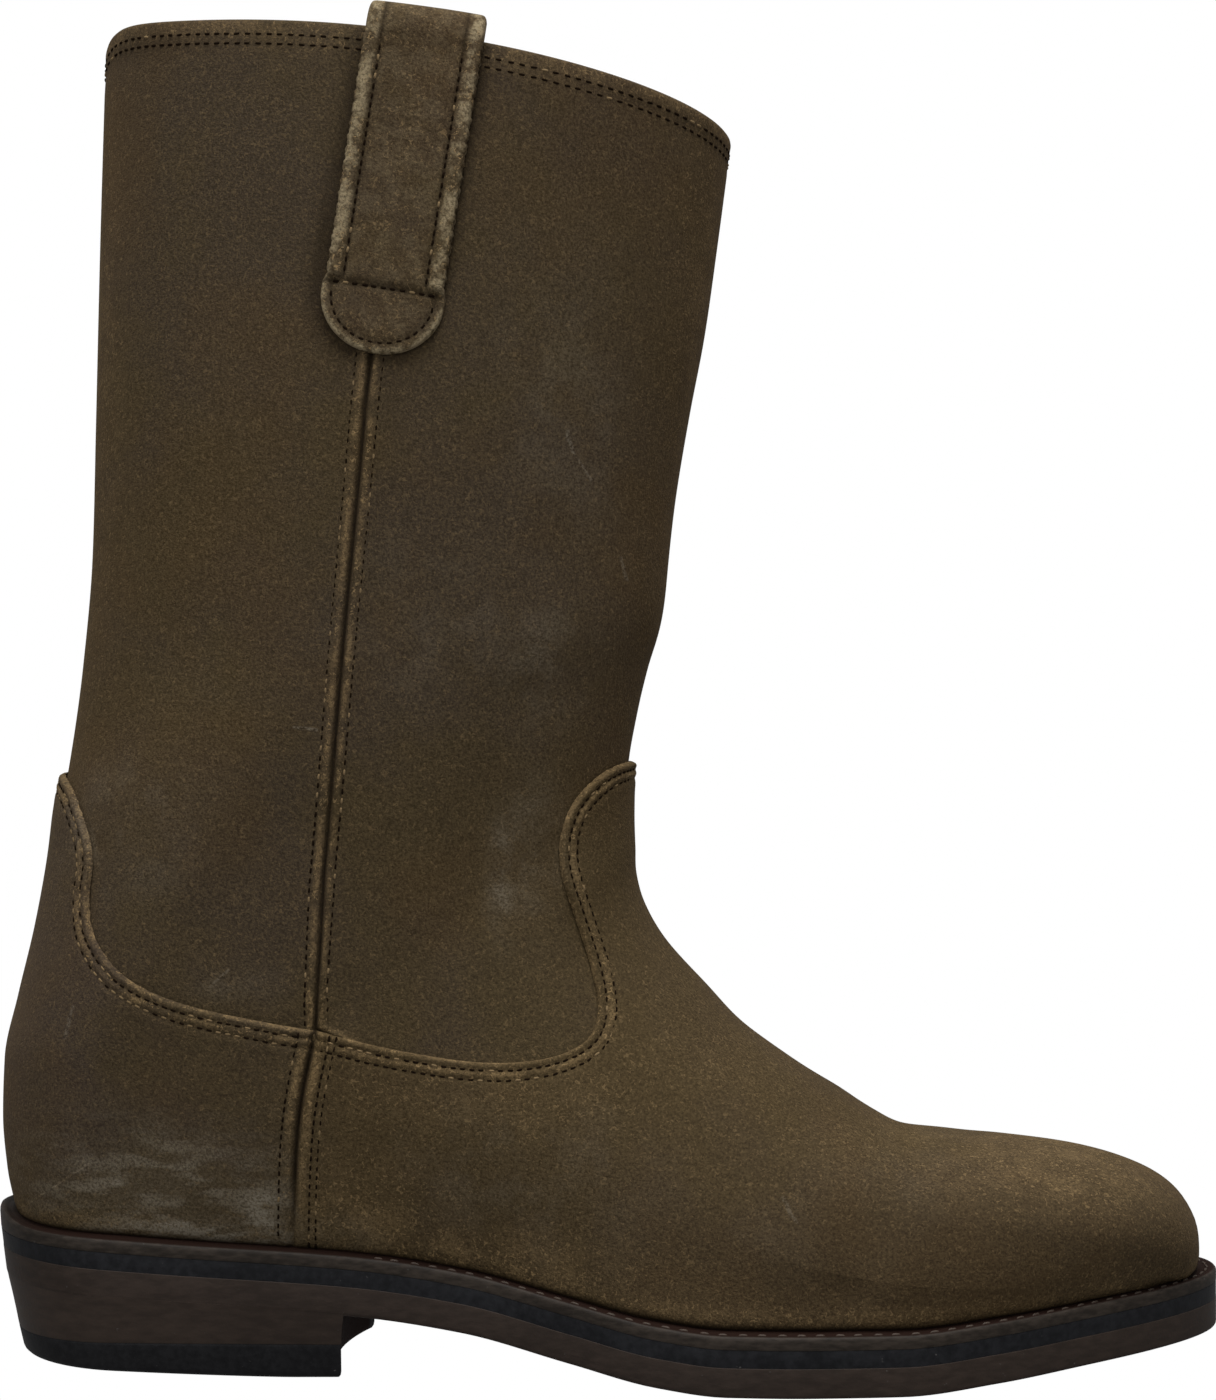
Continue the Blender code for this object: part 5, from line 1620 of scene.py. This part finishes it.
class BOOT_OT_sole(BootOperator):
    """Welt, midsole and outsole with rounded edges, and the insole's leather"""

    bl_idname = "boot.sole"
    bl_label = "Sole"

    def execute(self, context):
        looks = self.looks
        for name, shape, slot, streak_scale, stretch in (
            ("welt", WELT_SHAPE, "welt_leather", 300.0, LAYERED),
            ("midsole", MIDSOLE_SHAPE, "midsole_rubber", 500.0, EVEN),
            ("outsole", OUTSOLE_SHAPE, "outsole_leather", 220.0, LAYERED),
        ):
            material = edge_finish(name + "_edge", looks, name, streak_scale, stretch=stretch)
            places = np.stack([outline(inset, level, SOLE_COUNT) for inset, level in shape])
            faces = grid_faces(len(shape), places.shape[1], closed=True, flip=True).tolist()
            behind = bell(places[..., 0], 0.0, WELT_BACK_LENGTH)
            insets, levels = np.array(shape).T[..., None]
            shade = 0 * behind
            if name == "welt":
                # Painted shade on the welt's top ledge, left off at the back
                shade = ((insets > WELT_LEDGE) & (levels > WELT_TOP - 1)) * (1 - behind)
                places[..., 2] += WELT_BACK_RISE * behind * ramp(levels, MIDSOLE_TOP, WELT_TOP - MIDSOLE_TOP)
            else:
                faces += strip_faces(SOLE_COUNT, (len(shape) - 1) * places.shape[1], True)
                faces += strip_faces(SOLE_COUNT, 0, False)
            make_piece(name + "_edge", places, faces, material, name, {"shade": shade}, sharp=True)
        insole = plain_finish("insole_face", looks, "insole", 350.0, 0.65)
        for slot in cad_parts["insole"].material_slots:
            slot.material = insole
        return {"FINISHED"}


class BOOT_OT_heel(BootOperator):
    """Stacked leather heel and its rubber cap"""

    bl_idname = "boot.heel"
    bl_label = "Heel"

    def execute(self, context):
        stack = edge_finish("heel_lifts", self.looks, "heel", 180.0, stretch=LAYERED)
        rubber = edge_finish("heel_rubber_face", self.looks, "cap", 600.0, 0.55)
        cap_share = HEEL_CAP_BACK / float(underside(0.0))
        stack_span = (cap_share, 1.0, heel_stack_bottom, heel_stack_top)
        cap_span = (0.0, cap_share, heel_wear, heel_cap_top)
        for name, rows, span, material, slot in (
            ("heel_stack", STACK_SIDE, stack_span, stack, "heel_leather"),
            ("heel_cap", CAP_SIDE, cap_span, rubber, "heel_rubber"),
        ):
            low_share, high_share, low, high = span
            loops = []
            for up, grow in rows:
                share = low_share + (high_share - low_share) * up
                loops.append(heel_loop(share, grow, lambda x, up=up: low(x) * (1 - up) + high(x) * up))
            places = np.stack(loops)
            around = places.shape[1]
            faces = grid_faces(len(rows), around, closed=True, flip=True).tolist()
            faces.append(list(range(around)))
            faces.append(list(range(len(rows) * around - 1, (len(rows) - 1) * around - 1, -1)))
            # Painted shade on the heel's hollow breast
            shaded_breast = np.arange(around) > around - BREAST_COUNT
            values = {"shade": np.broadcast_to(shaded_breast, (len(rows), around))}
            make_piece(name + "_block", places, faces, material, name, values, sharp=True)
        return {"FINISHED"}


class BOOT_OT_straps(BootOperator):
    """Pull straps with folded edges, a stitched tab and a loop over the collar"""

    bl_idname = "boot.straps"
    bl_label = "Pull straps"

    def execute(self, context):
        looks = self.looks
        material = roughout_finish("strap_roughout", looks, STRAP_HIDE, tuple(looks.strap_worn_and_lit))
        strap = strap_outside()
        more = np.ones((CROWN_ROWS + INSIDE_ROWS, 1))
        values = {name: getattr(strap, name) for name in ("rub", "shade")}
        values = {name: np.concatenate([numbers, more * numbers[-1]]) for name, numbers in values.items()}
        values["scuff"] = 0 * values["rub"]
        for name, side in (("pull_strap_lateral", LATERAL), ("pull_strap_medial", MEDIAL)):
            places = strap_places(strap, side)
            faces = grid_faces(*places.shape[:2], flip=side == LATERAL)
            make_piece(name + "_band", places, faces, material, name, values)
        thread = thread_finish("strap_thread", looks)
        stitch_rows("strap_stitches", strap_stitch_rows(), STRAP_THREAD, thread)
        return {"FINISHED"}


class BOOT_OT_stage(BootOperator):
    """Pale floor and backdrop, soft lights and the camera"""

    bl_idname = "boot.stage"
    bl_label = "Stage"

    def execute(self, context):
        stage = context.scene.boot_stage
        context.scene.view_settings.view_transform = "Standard"
        self.floor(stage)
        self.lights(stage)
        camera_data = bpy.data.cameras.new("camera")
        camera_data.lens = stage.lens
        camera_data.sensor_width = SENSOR_WIDTH
        camera_data.shift_y = CAMERA_SHIFT
        camera = bpy.data.objects.new("camera", camera_data)
        camera.location = to_world(CAMERA_PLACE)
        camera.rotation_euler = (math.pi / 2, 0.0, 0.0)
        bpy.context.scene.collection.objects.link(camera)
        bpy.context.scene.camera = camera
        return {"FINISHED"}

    def floor(self, stage):
        finish = Finish("floor", Roughness=1.0, Specular_IOR_Level=0.0, Emission_Strength=stage.floor_glow)
        finish.shader.inputs["Base Color"].default_value = (0.0, 0.0, 0.0, 1.0)
        finish.shader.inputs["Emission Color"].default_value = (*stage.floor_colour, 1.0)
        turn = np.linspace(0, math.pi / 2, 24)
        bend = np.stack([FLOOR_BACK + FLOOR_BEND * np.sin(turn), FLOOR_BEND - FLOOR_BEND * np.cos(turn)], -1)
        profile = np.concatenate([[(FLOOR_FRONT, 0.0)], bend, [(FLOOR_BACK + FLOOR_BEND, FLOOR_TOP)]])
        places = [(x, y, z) for y, z in profile for x in (-FLOOR_SIDE, FLOOR_SIDE)]
        mesh = bpy.data.meshes.new("floor")
        mesh.from_pydata(places, [], grid_faces(len(profile), 2).tolist())
        mesh.materials.append(finish.material)
        mesh.shade_smooth()
        floor = bpy.data.objects.new("floor", mesh)
        floor.visible_diffuse = False
        floor.visible_glossy = False
        floor.visible_shadow = False
        bpy.context.scene.collection.objects.link(floor)

    def lights(self, stage):
        world = bpy.data.worlds.new("studio")
        world.use_nodes = True
        world.node_tree.nodes["Background"].inputs["Color"].default_value = (1.0, 1.0, 1.0, 1.0)
        world.node_tree.nodes["Background"].inputs["Strength"].default_value = stage.world_strength
        bpy.context.scene.world = world
        for name, power, size, place in (
            ("key", stage.key_power, KEY_SIZE, KEY_PLACE),
            ("fill", stage.fill_power, FILL_SIZE, FILL_PLACE),
        ):
            lamp = bpy.data.lights.new(name, "AREA")
            lamp.energy = power
            lamp.size = size
            light = bpy.data.objects.new(name, lamp)
            light.location = place
            light.rotation_euler = (Vector(LIGHT_AIM) - Vector(place)).to_track_quat("-Z", "Y").to_euler()
            bpy.context.scene.collection.objects.link(light)


class BOOT_PT_panel(bpy.types.Panel):
    """Lists the boot's pieces and settings"""

    bl_idname = "BOOT_PT_panel"
    bl_label = "Western work boot"
    bl_space_type = "VIEW_3D"
    bl_region_type = "UI"
    bl_category = "Boot"

    def draw(self, context):
        for settings in (context.scene.boot_looks, context.scene.boot_stage):
            for name in settings.__annotations__:
                self.layout.prop(settings, name)
        for operator in OPERATORS:
            self.layout.operator(operator.bl_idname)


OPERATORS = (
    BOOT_OT_upper,
    BOOT_OT_overlays,
    BOOT_OT_stitches,
    BOOT_OT_sole,
    BOOT_OT_heel,
    BOOT_OT_straps,
    BOOT_OT_stage,
)
CLASSES = (BootLooks, StageLooks, *OPERATORS, BOOT_PT_panel)


def register():
    for made in CLASSES:
        bpy.utils.register_class(made)
    bpy.types.Scene.boot_looks = PointerProperty(type=BootLooks)
    bpy.types.Scene.boot_stage = PointerProperty(type=StageLooks)


def unregister():
    del bpy.types.Scene.boot_stage
    del bpy.types.Scene.boot_looks
    for made in reversed(CLASSES):
        bpy.utils.unregister_class(made)


def main():
    register()
    for operator in OPERATORS:
        group, name = operator.bl_idname.split(".")
        getattr(getattr(bpy.ops, group), name)()


if __name__ == "__main__":
    main()
